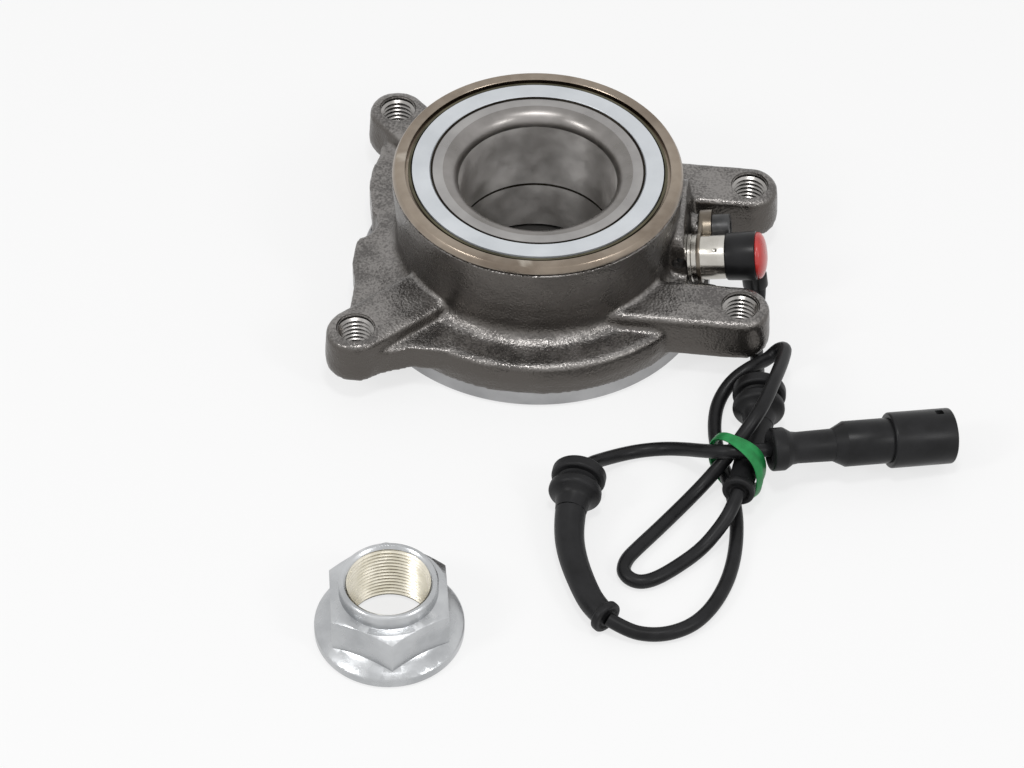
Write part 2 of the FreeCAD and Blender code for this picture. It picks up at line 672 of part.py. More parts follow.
def makeInnerRings():
    groove = D["ball_pitch"] - D["ball_radius"] + D["inner_step"]
    section = D["ball_radius"] + D["race_gap"]
    edge = D["bore_edge"]
    upper = newBody("inner_ring_upper")
    turned(upper, [
        (D["bore_radius"] + edge, D["split_height"]),
        (groove - edge, D["split_height"]),
        (groove, D["split_height"] + edge),
        (groove, D["upper_row"]),
        (D["inner_shoulder"], D["upper_row"]),
        (D["inner_shoulder"], D["inner_top"] - edge),
        (D["inner_shoulder"] - edge, D["inner_top"]),
        (D["bore_radius"], D["inner_top"]),
        (D["bore_radius"], D["split_height"] + edge),
    ])
    roundEdges(upper, "Fillet", D["bore_lead"], ringAt(D["bore_radius"], D["inner_top"]))
    raceCut(upper, D["ball_pitch"], D["upper_row"], section)
    lower = newBody("inner_ring_lower")
    foot = D["inner_foot"]
    turned(lower, [
        (D["bore_radius"] + edge, foot),
        (D["inner_shoulder"] - edge, foot),
        (D["inner_shoulder"], foot + edge),
        (D["inner_shoulder"], D["lower_row"]),
        (groove, D["lower_row"]),
        (groove, D["split_height"] - edge),
        (groove - edge, D["split_height"]),
        (D["bore_radius"] + edge, D["split_height"]),
        (D["bore_radius"], D["split_height"] - edge),
        (D["bore_radius"], foot + edge),
    ])
    raceCut(lower, D["ball_pitch"], D["lower_row"], section)


def polar(body, feature, count):
    pattern = body.newObject("PartDesign::PolarPattern", body.Name + "_pattern")
    pattern.Originals = [feature]
    pattern.Axis = (originPart(body, "Z_Axis"), [""])
    pattern.Angle = 360.0
    pattern.Occurrences = count
    body.Tip = pattern
    doc.recompute()
    return pattern


def makeCage(name, row):
    half = D["cage_half_height"]
    body = newBody(name)
    turned(body, [
        (D["cage_inner"], row - half),
        (D["cage_outer"], row - half),
        (D["cage_outer"], row + half),
        (D["cage_inner"], row + half),
    ])
    start = D["cage_inner"] - D["ball_radius"] / 2
    sketch = circle(newSketch(body, "YZ_Plane", start), 0, row, D["ball_radius"] + D["pocket_gap"])
    feature = pocket(body, sketch, D["cage_outer"] + D["pocket_gap"] - start)
    feature.Reversed = True
    polar(body, feature, BALL_COUNT)


def makeBalls(name, row):
    balls = []
    for index in range(BALL_COUNT):
        turn = FreeCAD.Rotation(FreeCAD.Vector(0, 0, 1), 360.0 * index / BALL_COUNT)
        centre = turn.multVec(FreeCAD.Vector(D["ball_pitch"].value, 0, row.value))
        balls.append(Part.makeSphere(D["ball_radius"].value, centre))
    solidFeature(name, Part.makeCompound(balls))


def makeToneRing():
    groove = D["ball_pitch"] - D["ball_radius"] + D["inner_step"]
    body = newBody("tone_ring")
    foot = D["tone_foot"]
    turned(body, [
        (groove, foot),
        (D["tone_outer"], foot),
        (D["tone_outer"], foot + D["tone_width"]),
        (groove, foot + D["tone_width"]),
    ])
    half = D["tone_slot"] / 2
    sketch = newSketch(body, "XY_Plane", foot)
    polygon(sketch, [
        (D["tone_root"], -half),
        (D["tone_outer"] + half, -half),
        (D["tone_outer"] + half, half),
        (D["tone_root"], half),
    ])
    feature = pocket(body, sketch, D["tone_width"])
    feature.Reversed = True
    polar(body, feature, TOOTH_COUNT)


def makeSeals():
    sheetGauge = D["seal_sheet"]
    hub = D["inner_shoulder"]
    top = D["ring_top"]
    face = top - D["flinger_drop"]
    turned(newBody("flinger_upper"), [
        (hub, face - D["flinger_depth"]),
        (hub + sheetGauge, face - D["flinger_depth"]),
        (hub + sheetGauge, face - sheetGauge),
        (D["flinger_outer"], face - sheetGauge),
        (D["flinger_outer"], face),
        (hub + sheetGauge, face),
        (hub, face - sheetGauge),
    ])
    shelf = top - D["upper_seat_depth"]
    seat = D["seal_seat"]
    carrierTop = top - D["carrier_drop"]
    turned(newBody("seal_carrier_upper"), [
        (D["carrier_web_inner"], shelf),
        (seat, shelf),
        (seat, carrierTop),
        (seat - sheetGauge, carrierTop),
        (seat - sheetGauge, shelf + sheetGauge),
        (D["carrier_web_inner"], shelf + sheetGauge),
    ])
    lipFoot = shelf + sheetGauge
    lipTop = face - sheetGauge - D["lip_gap"]
    lipInner = hub + sheetGauge + D["lip_gap"]
    turned(newBody("seal_lip_upper"), [
        (lipInner, lipFoot),
        (D["carrier_web_inner"] + D["lip_reach"], lipFoot),
        (D["carrier_web_inner"] + D["lip_reach"], lipFoot + sheetGauge),
        (D["carrier_web_inner"] + D["lip_reach"] + sheetGauge, lipTop),
        (D["carrier_web_inner"] + D["lip_reach"], lipTop),
        (D["carrier_web_inner"] + sheetGauge, lipFoot + sheetGauge * 2),
        (lipInner + sheetGauge, lipFoot + sheetGauge),
        (lipInner, lipFoot + sheetGauge * 2),
    ])
    low = D["flinger_lift"]
    turned(newBody("flinger_lower"), [
        (hub, low + sheetGauge),
        (hub + sheetGauge, low),
        (D["flinger_outer"], low),
        (D["flinger_outer"], low + sheetGauge),
        (hub + sheetGauge, low + sheetGauge),
        (hub + sheetGauge, D["lower_seat_depth"] - D["lip_gap"]),
        (hub, D["lower_seat_depth"] - D["lip_gap"]),
    ])
    roof = D["lower_seat_depth"]
    turned(newBody("seal_carrier_lower"), [
        (D["carrier_web_inner"], roof),
        (seat, roof),
        (seat, D["carrier_drop"]),
        (seat - sheetGauge, D["carrier_drop"]),
        (seat - sheetGauge, roof - sheetGauge),
        (D["carrier_web_inner"], roof - sheetGauge),
    ])
    lipRoof = roof - sheetGauge
    lipFloor = low + sheetGauge + D["lip_gap"]
    turned(newBody("seal_lip_lower"), [
        (lipInner, lipRoof),
        (D["carrier_web_inner"] + D["lip_reach"], lipRoof),
        (D["carrier_web_inner"] + D["lip_reach"] + sheetGauge / 2, lipFloor),
        (D["carrier_web_inner"] + D["lip_reach"], lipFloor),
        (D["carrier_web_inner"] + sheetGauge, lipRoof - sheetGauge),
        (lipInner, lipRoof - sheetGauge),
    ])


# Speed sensor: built along its own axis from the boss face outwards

def sensorPlacement():
    turn = FreeCAD.Rotation(FreeCAD.Vector(0, 1, 0), 90.0 - SENSOR_TILT)
    base = FreeCAD.Vector(D["boss_face"].value, D["sensor_side"].value, D["sensor_height"].value)
    return FreeCAD.Placement(base, turn)


def sensorBody(name):
    body = newBody(name)
    body.Placement = sensorPlacement()
    body.setExpression("Placement.Base.x", D["boss_face"].text)
    body.setExpression("Placement.Base.y", D["sensor_side"].text)
    body.setExpression("Placement.Base.z", D["sensor_height"].text)
    return body


def makeSensor():
    probe = D["probe_radius"]
    ringCentre = probe + D["probe_gap"] / 2 - D["o_ring_radius"]
    ringSeat = ringCentre - D["o_ring_radius"] - D["probe_gap"] / 2
    groove = D["o_ring_radius"] + D["probe_gap"]
    turned(sensorBody("sensor_probe"), [
        (0, -D["pole_reach"]),
        (D["pole_radius"], -D["pole_reach"]),
        (D["pole_radius"], -D["probe_reach"]),
        (probe - D["probe_gap"], -D["probe_reach"]),
        (probe, D["probe_gap"] - D["probe_reach"]),
        (probe, -D["o_ring_depth"] - groove),
        (ringSeat, -D["o_ring_depth"] - groove),
        (ringSeat, groove - D["o_ring_depth"]),
        (probe, groove - D["o_ring_depth"]),
        (probe, D["sleeve_length"]),
        (0, D["sleeve_length"]),
    ])
    sealRing = sensorBody("sensor_o_ring")
    spin(sealRing, "Revolution",
         circle(newSketch(sealRing, "XZ_Plane"), ringCentre, -D["o_ring_depth"], D["o_ring_radius"]))
    inner = D["sleeve_radius"] - D["sleeve_wall"]
    turned(sensorBody("sensor_sleeve"), [
        (probe, 0),
        (D["sleeve_flange"], 0),
        (D["sleeve_flange"], D["sleeve_flange_height"]),
        (D["sleeve_shoulder"], D["sleeve_flange_height"]),
        (D["sleeve_shoulder"], D["plate_seat"]),
        (D["sleeve_radius"], D["plate_seat"]),
        (D["sleeve_radius"], D["sleeve_length"] - D["sleeve_wall"] / 2),
        (inner, D["sleeve_length"]),
        (probe, D["sleeve_length"]),
    ])
    makeBracket()
    makeScrew()
    return makeMoulding()


def makeMoulding():
    foot = D["sleeve_length"]
    end = foot + D["moulding_length"]
    body = sensorBody("sensor_moulding")
    edge = D["moulding_flare"] * 2
    turned(body, [
        (0, foot),
        (D["moulding_radius"] - edge, foot),
        (D["moulding_radius"], foot + edge),
        (D["moulding_radius"] + D["moulding_flare"], end - edge),
        (D["moulding_radius"], end),
        (0, end),
    ])
    # the cable leaves downwards: a boss under the moulding, then one that reaches under the cap
    clear = D["cap_radius"] + D["exit_gap"]
    pad(body, circle(newSketch(body, "YZ_Plane"), 0, end - D["exit_radius"], D["exit_radius"]),
        D["exit_reach"])
    pad(body, circle(newSketch(body, "YZ_Plane", clear), 0, D["exit_place"], D["exit_radius"]),
        D["exit_reach"] - clear)
    cap = sensorBody("sensor_cap")
    crown = D["cap_height"] / 3
    turned(cap, [
        (0, end),
        (D["cap_radius"], end),
        (D["cap_radius"], end + crown),
        (D["cap_radius"] - crown, end + crown * 2),
        (D["cap_radius"] / 2, end + D["cap_height"]),
        (0, end + D["cap_height"]),
    ])
    return body


def makeBracket():
    body = sensorBody("sensor_bracket")
    seat = D["plate_seat"]
    hub = D["sleeve_radius"] + D["plate_margin"]
    lug = D["screw_head"] + D["lug_margin"]
    length = D["screw_spacing"]
    pad(body, circle(newSketch(body, "XY_Plane", seat), 0, 0, hub), D["plate_ring"])
    pad(body, circle(newSketch(body, "XY_Plane", seat), 0, length, lug), D["plate_thickness"])
    sketch = polygon(newSketch(body, "XY_Plane", seat), [
        (-lug, 0), (lug, 0), (lug, length), (-lug, length)])
    pad(body, sketch, D["plate_ring"])
    for x, y, radius in ((0, 0, D["sleeve_radius"]),
                         (0, length, D["screw_shank"] + D["screw_gap"])):
        top = seat + D["plate_thickness"]
        pocket(body, circle(newSketch(body, "XY_Plane", top), x, y, radius), D["plate_thickness"])


def makeScrew():
    body = sensorBody("sensor_screw")
    side = D["screw_spacing"]
    under = D["plate_seat"] + D["plate_thickness"]
    depth = D["screw_depth"]
    pad(body, circle(newSketch(body, "XY_Plane", -depth), 0, side, D["screw_shank"]),
        depth + under)
    pad(body, circle(newSketch(body, "XY_Plane", under), 0, side, D["screw_head"]),
        D["screw_head_height"])
    top = under + D["screw_head_height"]
    corners = []
    for index in range(6):
        angle = math.radians(60 * index)
        corners.append((D["screw_socket"] * math.cos(angle),
                        side + D["screw_socket"] * math.sin(angle)))
    pocket(body, polygon(newSketch(body, "XY_Plane", top), corners), D["screw_socket_depth"])


# Hub nut, standing by itself

def makeNut():
    body = newBody("hub_nut")
    turn = FreeCAD.Rotation(FreeCAD.Vector(0, 0, 1), NUT_TURN)
    body.Placement = FreeCAD.Placement(FreeCAD.Vector(0, 0, 0), turn)
    body.setExpression("Placement.Base.x", D["nut_x"].text)
    body.setExpression("Placement.Base.y", D["nut_y"].text)
    corner = D["nut_hex"] * (0.5 / math.cos(math.radians(30)))
    flat = D["nut_hex"] / 2
    edge = D["nut_bore_edge"] / 2
    turned(body, [
        (0, 0),
        (D["nut_flange"] - edge, 0),
        (D["nut_flange"], edge),
        (D["nut_flange"], D["nut_flange_edge"]),
        (D["nut_flange"] - edge, D["nut_flange_edge"] + edge),
        (flat, D["nut_cone_height"]),
        (D["nut_collar"], D["nut_cone_height"]),
        (D["nut_collar"], D["nut_top"] - edge),
        (D["nut_collar"] - edge, D["nut_top"]),
        (0, D["nut_top"]),
    ])
    corners = []
    for index in range(6):
        angle = math.radians(60 * index)
        corners.append((corner * math.cos(angle), corner * math.sin(angle)))
    pad(body, polygon(newSketch(body, "XY_Plane", D["nut_flange_edge"]), corners),
        D["nut_hex_top"] - D["nut_flange_edge"])
    slope = math.tan(math.radians(30))
    turnedCut(body, [
        (flat, D["nut_hex_top"]),
        (corner * 1.1, D["nut_hex_top"] - (corner * 1.1 - flat) * slope),
        (corner * 1.1, D["nut_hex_top"] + edge),
        (flat, D["nut_hex_top"] + edge),
    ])
    bevel = D["nut_bore_edge"]
    turnedCut(body, [
        (0, -bevel),
        (D["nut_bore"] + bevel * 2, -bevel),
        (D["nut_bore"], bevel),
        (D["nut_bore"], D["nut_top"] - bevel),
        (D["nut_bore"] + bevel * 2, D["nut_top"] + bevel),
        (0, D["nut_top"] + bevel),
    ])


# Lead: cable, grommets, rubber sleeves, connector and elastic band

def cordWire(points):
    # straight runs joined by tangent arcs, each as large as its two runs allow
    points = [FreeCAD.Vector(*point) for point in points]
    edges = []
    radii = []
    here = points[0]
    for before, corner, after in zip(points, points[1:], points[2:]):
        into = (corner - before).normalize()
        out = (after - corner).normalize()
        turn = into.getAngle(out)
        reach = BRIDGE_FACTOR * min(before.distanceToPoint(corner), corner.distanceToPoint(after))
        start = corner - into * reach
        end = corner + out * reach
        bisector = (out - into).normalize()
        radius = reach / math.tan(turn / 2)
        depth = radius / math.cos(turn / 2) - radius
        edges.append(Part.LineSegment(here, start).toShape())
        edges.append(Part.Arc(start, corner + bisector * depth, end).toShape())
        radii.append(radius)
        here = end
    edges.append(Part.LineSegment(here, points[-1]).toShape())
    return Part.Wire(edges), radii


def tube(points, radius):
    wire, radii = cordWire(points)
    start = FreeCAD.Vector(*points[0])
    direction = FreeCAD.Vector(*points[1]) - start
    profile = Part.Wire([Part.Circle(start, direction, radius.value).toShape()])
    solid = wire.makePipeShell([profile], True, False)
    expected = math.pi * radius.value ** 2 * wire.Length
    if abs(solid.Volume / expected - 1) > 0.01:
        raise ValueError("a tube has the wrong volume")
    return solid, wire, radii


def makeCord(name, points, neighbours):
    # its ends are trimmed to the faces of the pieces that they meet
    solid, wire, radii = tube(points, D["cable_radius"])
    for neighbour in neighbours:
        solid = solid.cut(neighbour.Shape)
    solidFeature(name, solid)
    print("%s: length %.1f mm, arc radii %s" % (
        name, wire.Length, " ".join("%.1f" % radius for radius in radii)))


def makeGrommet(name, entry, tail):
    body = newBody(name)
    direction = [b - a for a, b in zip(entry, tail)]
    body.Placement = aimed(entry, direction)
    disc = D["grommet_disc"]
    groove = D["grommet_groove"]
    edge = disc / 4
    length = asSize(math.sqrt(sum(step * step for step in direction)))
    turned(body, [
        (0, 0),
        (D["grommet_radius"] - edge, 0),
        (D["grommet_radius"], edge),
        (D["grommet_radius"], disc - edge),
        (D["grommet_radius"] - edge, disc),
        (D["grommet_neck"], disc),
        (D["grommet_neck"], disc + groove),
        (D["grommet_radius"] - edge, disc + groove),
        (D["grommet_radius"], disc + groove + edge),
        (D["grommet_radius"] - edge, disc * 2 + groove),
        (D["grommet_tail"], disc * 2 + groove + edge * 2),
        (D["boot_radius"], length),
        (0, length),
    ])
    return body


def makeSleeve(name, points, grommet):
    # starts at the grommet's end face and ends in a collar around the cable
    solid, wire, radii = tube(points, D["boot_radius"])
    solid = solid.cut(grommet.Shape)
    end = FreeCAD.Vector(*points[-1])
    direction = (end - FreeCAD.Vector(*points[-2])).normalize()
    width = D["boot_collar_width"].value
    collar = Part.makeCylinder(D["boot_collar"].value, width, end - direction * width, direction)
    return solidFeature(name, solid.fuse(collar).removeSplitter())


def makeConnector():
    rear = CONNECTOR_REAR
    direction = [b - a for a, b in zip(CONNECTOR_REAR, CONNECTOR_FRONT)]
    place = aimed(rear, direction, CONNECTOR_ROLL)
    edge = D["plug_wall"] / 2
    collar = D["plug_collar_length"]
    neck = collar + D["plug_neck_length"]
    body = neck + D["plug_body_length"]
    end = body + D["plug_barrel_length"]
    boot = newBody("connector_boot")
    boot.Placement = place
    turned(boot, [
        (0, 0),
        (D["plug_collar"] - edge, 0),
        (D["plug_collar"], edge),
        (D["plug_collar"], collar - edge),
        (D["plug_collar"] - edge, collar),
        (D["plug_neck"], collar),
        (D["plug_neck"], neck),
        (0, neck),
    ])
    shell = newBody("connector_shell")
    shell.Placement = place
    turned(shell, [
        (0, neck),
        (D["plug_neck"], neck),
        (D["plug_body"], neck + D["plug_cone"]),
        (D["plug_body"], body),
        (D["plug_barrel"] - edge, body),
        (D["plug_barrel"], body + edge),
        (D["plug_barrel"], end - edge),
        (D["plug_barrel"] - edge, end),
        (D["plug_barrel"] - D["plug_wall"], end),
        (D["plug_barrel"] - D["plug_wall"], end - D["plug_mouth"]),
        (0, end - D["plug_mouth"]),
    ])
    half = D["key_width"] / 2
    sketch = polygon(newSketch(shell, "XZ_Plane", -D["plug_barrel"] - half), [
        (-half, end - D["key_length"] - D["plug_wall"] * 2),
        (half, end - D["key_length"] - D["plug_wall"] * 2),
        (half, end - D["plug_wall"] * 2),
        (-half, end - D["plug_wall"] * 2),
    ])
    pocket(shell, sketch, D["plug_wall"] * 2)
    insert = newBody("connector_insert")
    insert.Placement = place
    turned(insert, [
        (0, end - D["plug_mouth"]),
        (D["insert_radius"], end - D["plug_mouth"]),
        (D["insert_radius"], end - D["plug_mouth"] + D["insert_length"] - edge),
        (D["insert_radius"] - edge, end - D["plug_mouth"] + D["insert_length"]),
        (0, end - D["plug_mouth"] + D["insert_length"]),
    ])
    pins = []
    foot = (end - D["plug_mouth"] + D["insert_length"]).value
    for side in (-0.5, 0.5):
        base = FreeCAD.Vector(side * D["pin_spacing"].value, 0, foot)
        pins.append(Part.makeCylinder(D["pin_radius"].value, D["pin_length"].value, base))
    solidFeature("connector_pins", Part.makeCompound(pins), place)
    return boot


def roundedLoop(halfWidth, halfHeight, corner):
    # rounded rectangle in the XY plane, as a face
    x, y = halfWidth - corner, halfHeight - corner
    diagonal = corner * math.sqrt(0.5)
    edges = []
    for sx, sy in ((1, 1), (-1, 1), (-1, -1), (1, -1)):
        side = FreeCAD.Vector(sx * halfWidth, sy * y, 0)
        middle = FreeCAD.Vector(sx * (x + diagonal), sy * (y + diagonal), 0)
        top = FreeCAD.Vector(sx * x, sy * halfHeight, 0)
        ends = (side, top) if sx == sy else (top, side)
        edges.append(Part.Arc(ends[0], middle, ends[1]).toShape())
    corners = []
    for before, after in zip(edges, edges[1:] + edges[:1]):
        corners += [before, Part.LineSegment(before.Vertexes[-1].Point,
                                             after.Vertexes[0].Point).toShape()]
    return Part.Face(Part.Wire(corners))


def makeBand():
    # a flat elastic strip around the sleeve, the cables beside it and the one above it
    gauge = D["band_gauge"].value
    sizes = [D[name].value for name in ("band_half_width", "band_half_height", "band_corner")]
    outer = roundedLoop(*sizes)
    inner = roundedLoop(*[size - gauge for size in sizes])
    strip = outer.cut(inner).extrude(FreeCAD.Vector(0, 0, D["band_strip"].value))
    tilt = FreeCAD.Rotation(FreeCAD.Vector(0, 0, 1), BAND_TILT)
    upright = FreeCAD.Rotation(FreeCAD.Vector(1, 0, 0), 90)
    place = FreeCAD.Placement(FreeCAD.Vector(*BAND_PLACE), tilt.multiply(upright))
    solidFeature("rubber_band", strip, place)


def main():
    makeOuterRing()
    makeInnerRings()
    for name, row in (("upper", D["upper_row"]), ("lower", D["lower_row"])):
        makeBalls("balls_" + name, row)
        makeCage("cage_" + name, row)
    makeToneRing()
    makeSeals()
    moulding = makeSensor()
    makeNut()
    grommetSensor = makeGrommet("grommet_sensor", ROUTE_SENSOR[-1], SLEEVE_SENSOR[0])
    grommetConnector = makeGrommet("grommet_connector", ROUTE_CONNECTOR[0], SLEEVE_CONNECTOR[0])
    sleeveSensor = makeSleeve("sleeve_sensor", SLEEVE_SENSOR, grommetSensor)
    sleeveConnector = makeSleeve("sleeve_connector", SLEEVE_CONNECTOR, grommetConnector)
    boot = makeConnector()
    makeCord("cable_sensor", ROUTE_SENSOR, [moulding, grommetSensor])
    makeCord("cable_middle", ROUTE_MIDDLE, [sleeveSensor, sleeveConnector])
    makeCord("cable_connector", ROUTE_CONNECTOR, [grommetConnector, boot])
    makeBand()
    doc.recompute()
    writeParts()


def writeParts():
    os.makedirs("parts", exist_ok=True)
    for item in doc.Objects:
        if "Invalid" in item.State or "Error" in item.State:
            raise ValueError("%s failed: %s" % (item.Name, item.State))
    for item in doc.Objects:
        if item.TypeId not in ("PartDesign::Body", "Part::Feature"):
            continue
        shape = item.Shape
        if shape.isNull() or not shape.isValid():
            raise ValueError("bad shape: " + item.Label)
        shape.exportStep(os.path.join("parts", item.Label + ".step"))


main()
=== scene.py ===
import bpy
import math
from mathutils import Euler, Matrix, Vector


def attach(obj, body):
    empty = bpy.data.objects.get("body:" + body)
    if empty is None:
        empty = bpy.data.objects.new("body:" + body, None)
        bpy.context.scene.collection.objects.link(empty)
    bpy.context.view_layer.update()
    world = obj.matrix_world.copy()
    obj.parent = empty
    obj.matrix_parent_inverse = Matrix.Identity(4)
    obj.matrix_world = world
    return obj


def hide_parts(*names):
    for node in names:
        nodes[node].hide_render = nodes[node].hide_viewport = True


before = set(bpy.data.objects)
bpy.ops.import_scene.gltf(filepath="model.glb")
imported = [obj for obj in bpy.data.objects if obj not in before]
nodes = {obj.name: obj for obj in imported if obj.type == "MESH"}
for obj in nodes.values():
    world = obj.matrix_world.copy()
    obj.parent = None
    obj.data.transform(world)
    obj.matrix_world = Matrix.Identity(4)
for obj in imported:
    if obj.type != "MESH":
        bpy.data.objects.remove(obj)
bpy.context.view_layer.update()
mm = 0.001
print("frame loaded:", len(nodes), "nodes")


# small helpers for objects and edit mode

def deselectAll():
    if bpy.context.object and bpy.context.object.mode != "OBJECT":
        bpy.ops.object.mode_set(mode="OBJECT")
    bpy.ops.object.select_all(action="DESELECT")


def pick(piece):
    deselectAll()
    piece.select_set(True)
    bpy.context.view_layer.objects.active = piece


def applyModifier(piece, kind, name, **values):
    pick(piece)
    modifier = piece.modifiers.new(name, kind)
    for key, value in values.items():
        setattr(modifier, key, value)
    bpy.ops.object.modifier_apply(modifier=name)


def applyPlace(piece, matrix=None):
    # the object ends at the origin, its place is in its mesh
    pick(piece)
    if matrix is not None:
        piece.matrix_world = matrix
    bpy.ops.object.transform_apply(location=True, rotation=True, scale=True)


def tidyMesh(piece, distance=2e-6):
    pick(piece)
    bpy.ops.object.mode_set(mode="EDIT")
    bpy.ops.mesh.select_all(action="SELECT")
    bpy.ops.mesh.remove_doubles(threshold=distance)
    bpy.ops.mesh.normals_make_consistent(inside=False)
    bpy.ops.object.mode_set(mode="OBJECT")


def smoothShade(piece, angle=32):
    pick(piece)
    bpy.ops.object.shade_smooth_by_angle(angle=math.radians(angle))


def arcPoints(centre, radius, start, end, steps=6):
    # points of an arc in the (radius, height) half plane, angles in degrees
    found = []
    for step in range(steps + 1):
        angle = math.radians(start + (end - start) * step / steps)
        found.append((centre[0] + radius * math.cos(angle), centre[1] + radius * math.sin(angle)))
    return found


def lathe(name, profile, steps=128, matrix=None, angle=32):
    # spins a closed profile of (radius, height) points, in mm, about Z
    deselectAll()
    bpy.ops.mesh.primitive_plane_add(size=mm, location=(0, 0, 0))
    piece = bpy.context.object
    piece.name = name
    bpy.ops.object.mode_set(mode="EDIT")
    bpy.ops.mesh.select_all(action="SELECT")
    bpy.ops.mesh.merge(type="CENTER")
    points = [Vector((radius * mm, 0, height * mm)) for radius, height in profile]
    bpy.ops.transform.translate(value=points[0])
    for before, after in zip(points, points[1:] + points[:1]):
        bpy.ops.mesh.extrude_vertices_move(TRANSFORM_OT_translate={"value": after - before})
    bpy.ops.mesh.select_all(action="SELECT")
    bpy.ops.mesh.remove_doubles(threshold=1e-6)
    bpy.ops.mesh.select_all(action="SELECT")
    bpy.ops.mesh.spin(steps=steps, angle=math.tau, center=(0, 0, 0), axis=(0, 0, 1))
    bpy.ops.mesh.select_all(action="SELECT")
    bpy.ops.mesh.remove_doubles(threshold=1e-6)
    bpy.ops.mesh.normals_make_consistent(inside=False)
    bpy.ops.object.mode_set(mode="OBJECT")
    if matrix is not None:
        applyPlace(piece, matrix)
    smoothShade(piece, angle)
    return piece


def cylinder(name, radius, low, high, place=(0, 0), vertices=64):
    deselectAll()
    bpy.ops.mesh.primitive_cylinder_add(
        vertices=vertices, radius=radius * mm, depth=(high - low) * mm,
        location=(place[0] * mm, place[1] * mm, (high + low) / 2 * mm))
    tool = bpy.context.object
    tool.name = name
    applyPlace(tool)
    return tool


def cut(piece, tool, operation="DIFFERENCE"):
    applyModifier(piece, "BOOLEAN", "shape", operation=operation, object=tool, solver="EXACT")
    bpy.data.objects.remove(tool, do_unlink=True)


def copyNode(name, newName):
    # merged copy of a construction node, to be finished as a piece of its own
    piece = nodes[name].copy()
    piece.data = nodes[name].data.copy()
    piece.name = newName
    for key in list(piece.keys()):
        del piece[key]
    piece.parent = None
    bpy.context.scene.collection.objects.link(piece)
    tidyMesh(piece)
    return piece


def finishPiece(piece, body, material, replaced=()):
    piece.data.materials.clear()
    piece.data.materials.append(material)
    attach(piece, body)
    if replaced:
        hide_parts(*replaced)
    return piece


# shader groups that several materials share

def newGroup(name, inputs, outputs):
    group = bpy.data.node_groups.new(name, "ShaderNodeTree")
    for label, kind, value in inputs:
        socket = group.interface.new_socket(name=label, in_out="INPUT", socket_type=kind)
        if value is not None:
            socket.default_value = value
    for label in outputs:
        group.interface.new_socket(name=label, in_out="OUTPUT", socket_type="NodeSocketFloat")
    return group, group.nodes.new("NodeGroupInput"), group.nodes.new("NodeGroupOutput")


def addNode(tree, kind, links=None, **values):
    node = tree.nodes.new(kind)
    for key, value in values.items():
        if hasattr(node, key):
            setattr(node, key, value)
        else:
            node.inputs[key.replace("_", " ")].default_value = value
    for key, source in (links or {}).items():
        tree.links.new(source, node.inputs[key])
    return node


def mathNode(tree, operation, first, second=None, clamp=False):
    node = tree.nodes.new("ShaderNodeMath")
    node.operation = operation
    node.use_clamp = clamp
    for socket, value in zip(node.inputs, (first, second)):
        if value is None:
            continue
        if isinstance(value, (int, float)):
            socket.default_value = value
        else:
            tree.links.new(value, socket)
    return node.outputs[0]


def makeGrainGroup():
    # two sizes of noise: Fine for bump and Broad for slow changes of tone
    group, source, sink = newGroup(
        "surfaceGrain",
        [("Vector", "NodeSocketVector", None), ("Fine Scale", "NodeSocketFloat", 1500.0),
         ("Broad Scale", "NodeSocketFloat", 80.0)],
        ["Fine", "Broad"])
    fine = addNode(group, "ShaderNodeTexNoise", {
        "Vector": source.outputs["Vector"], "Scale": source.outputs["Fine Scale"]},
        Detail=1.0, Roughness=0.6)
    broad = addNode(group, "ShaderNodeTexNoise", {
        "Vector": source.outputs["Vector"], "Scale": source.outputs["Broad Scale"]},
        Detail=4.0, Roughness=0.55)
    group.links.new(fine.outputs["Fac"], sink.inputs["Fine"])
    group.links.new(broad.outputs["Fac"], sink.inputs["Broad"])
    return group


def makeTurnedGroup():
    # fine rings round the Z axis of the pattern, as a lathe tool leaves them
    group, source, sink = newGroup(
        "turnedMarks",
        [("Vector", "NodeSocketVector", None), ("Scale", "NodeSocketFloat", 3000.0)],
        ["Marks"])
    apart = addNode(group, "ShaderNodeSeparateXYZ", {"Vector": source.outputs["Vector"]})
    square = mathNode(group, "ADD", mathNode(group, "MULTIPLY", apart.outputs["X"], apart.outputs["X"]),
                      mathNode(group, "MULTIPLY", apart.outputs["Y"], apart.outputs["Y"]))
    radius = mathNode(group, "SQRT", square)
    joined = addNode(group, "ShaderNodeCombineXYZ", {"X": radius, "Y": apart.outputs["Z"]})
    noise = addNode(group, "ShaderNodeTexNoise", {
        "Vector": joined.outputs["Vector"], "Scale": source.outputs["Scale"]},
        Detail=2.0, Roughness=0.7)
    group.links.new(noise.outputs["Fac"], sink.inputs["Marks"])
    return group


def makeWearGlintGroup():
    # Mask is 1 on sharp convex edges, broken up by noise; their pale colour is partly rubbed metal and
    # partly a painted highlight
    group, source, sink = newGroup(
        "edgeWearGlint",
        [("Vector", "NodeSocketVector", None), ("Amount", "NodeSocketFloat", 0.5)],
        ["Mask"])
    geometry = addNode(group, "ShaderNodeNewGeometry")
    noise = addNode(group, "ShaderNodeTexNoise", {"Vector": source.outputs["Vector"]},
                    Scale=350.0, Detail=5.0)
    raised = mathNode(group, "SUBTRACT", geometry.outputs["Pointiness"], 0.52)
    sharp = mathNode(group, "MULTIPLY", raised, 9.0, clamp=True)
    broken = mathNode(group, "MULTIPLY", sharp, noise.outputs["Fac"])
    mask = mathNode(group, "MULTIPLY", broken, source.outputs["Amount"], clamp=True)
    group.links.new(mask, sink.inputs["Mask"])
    return group


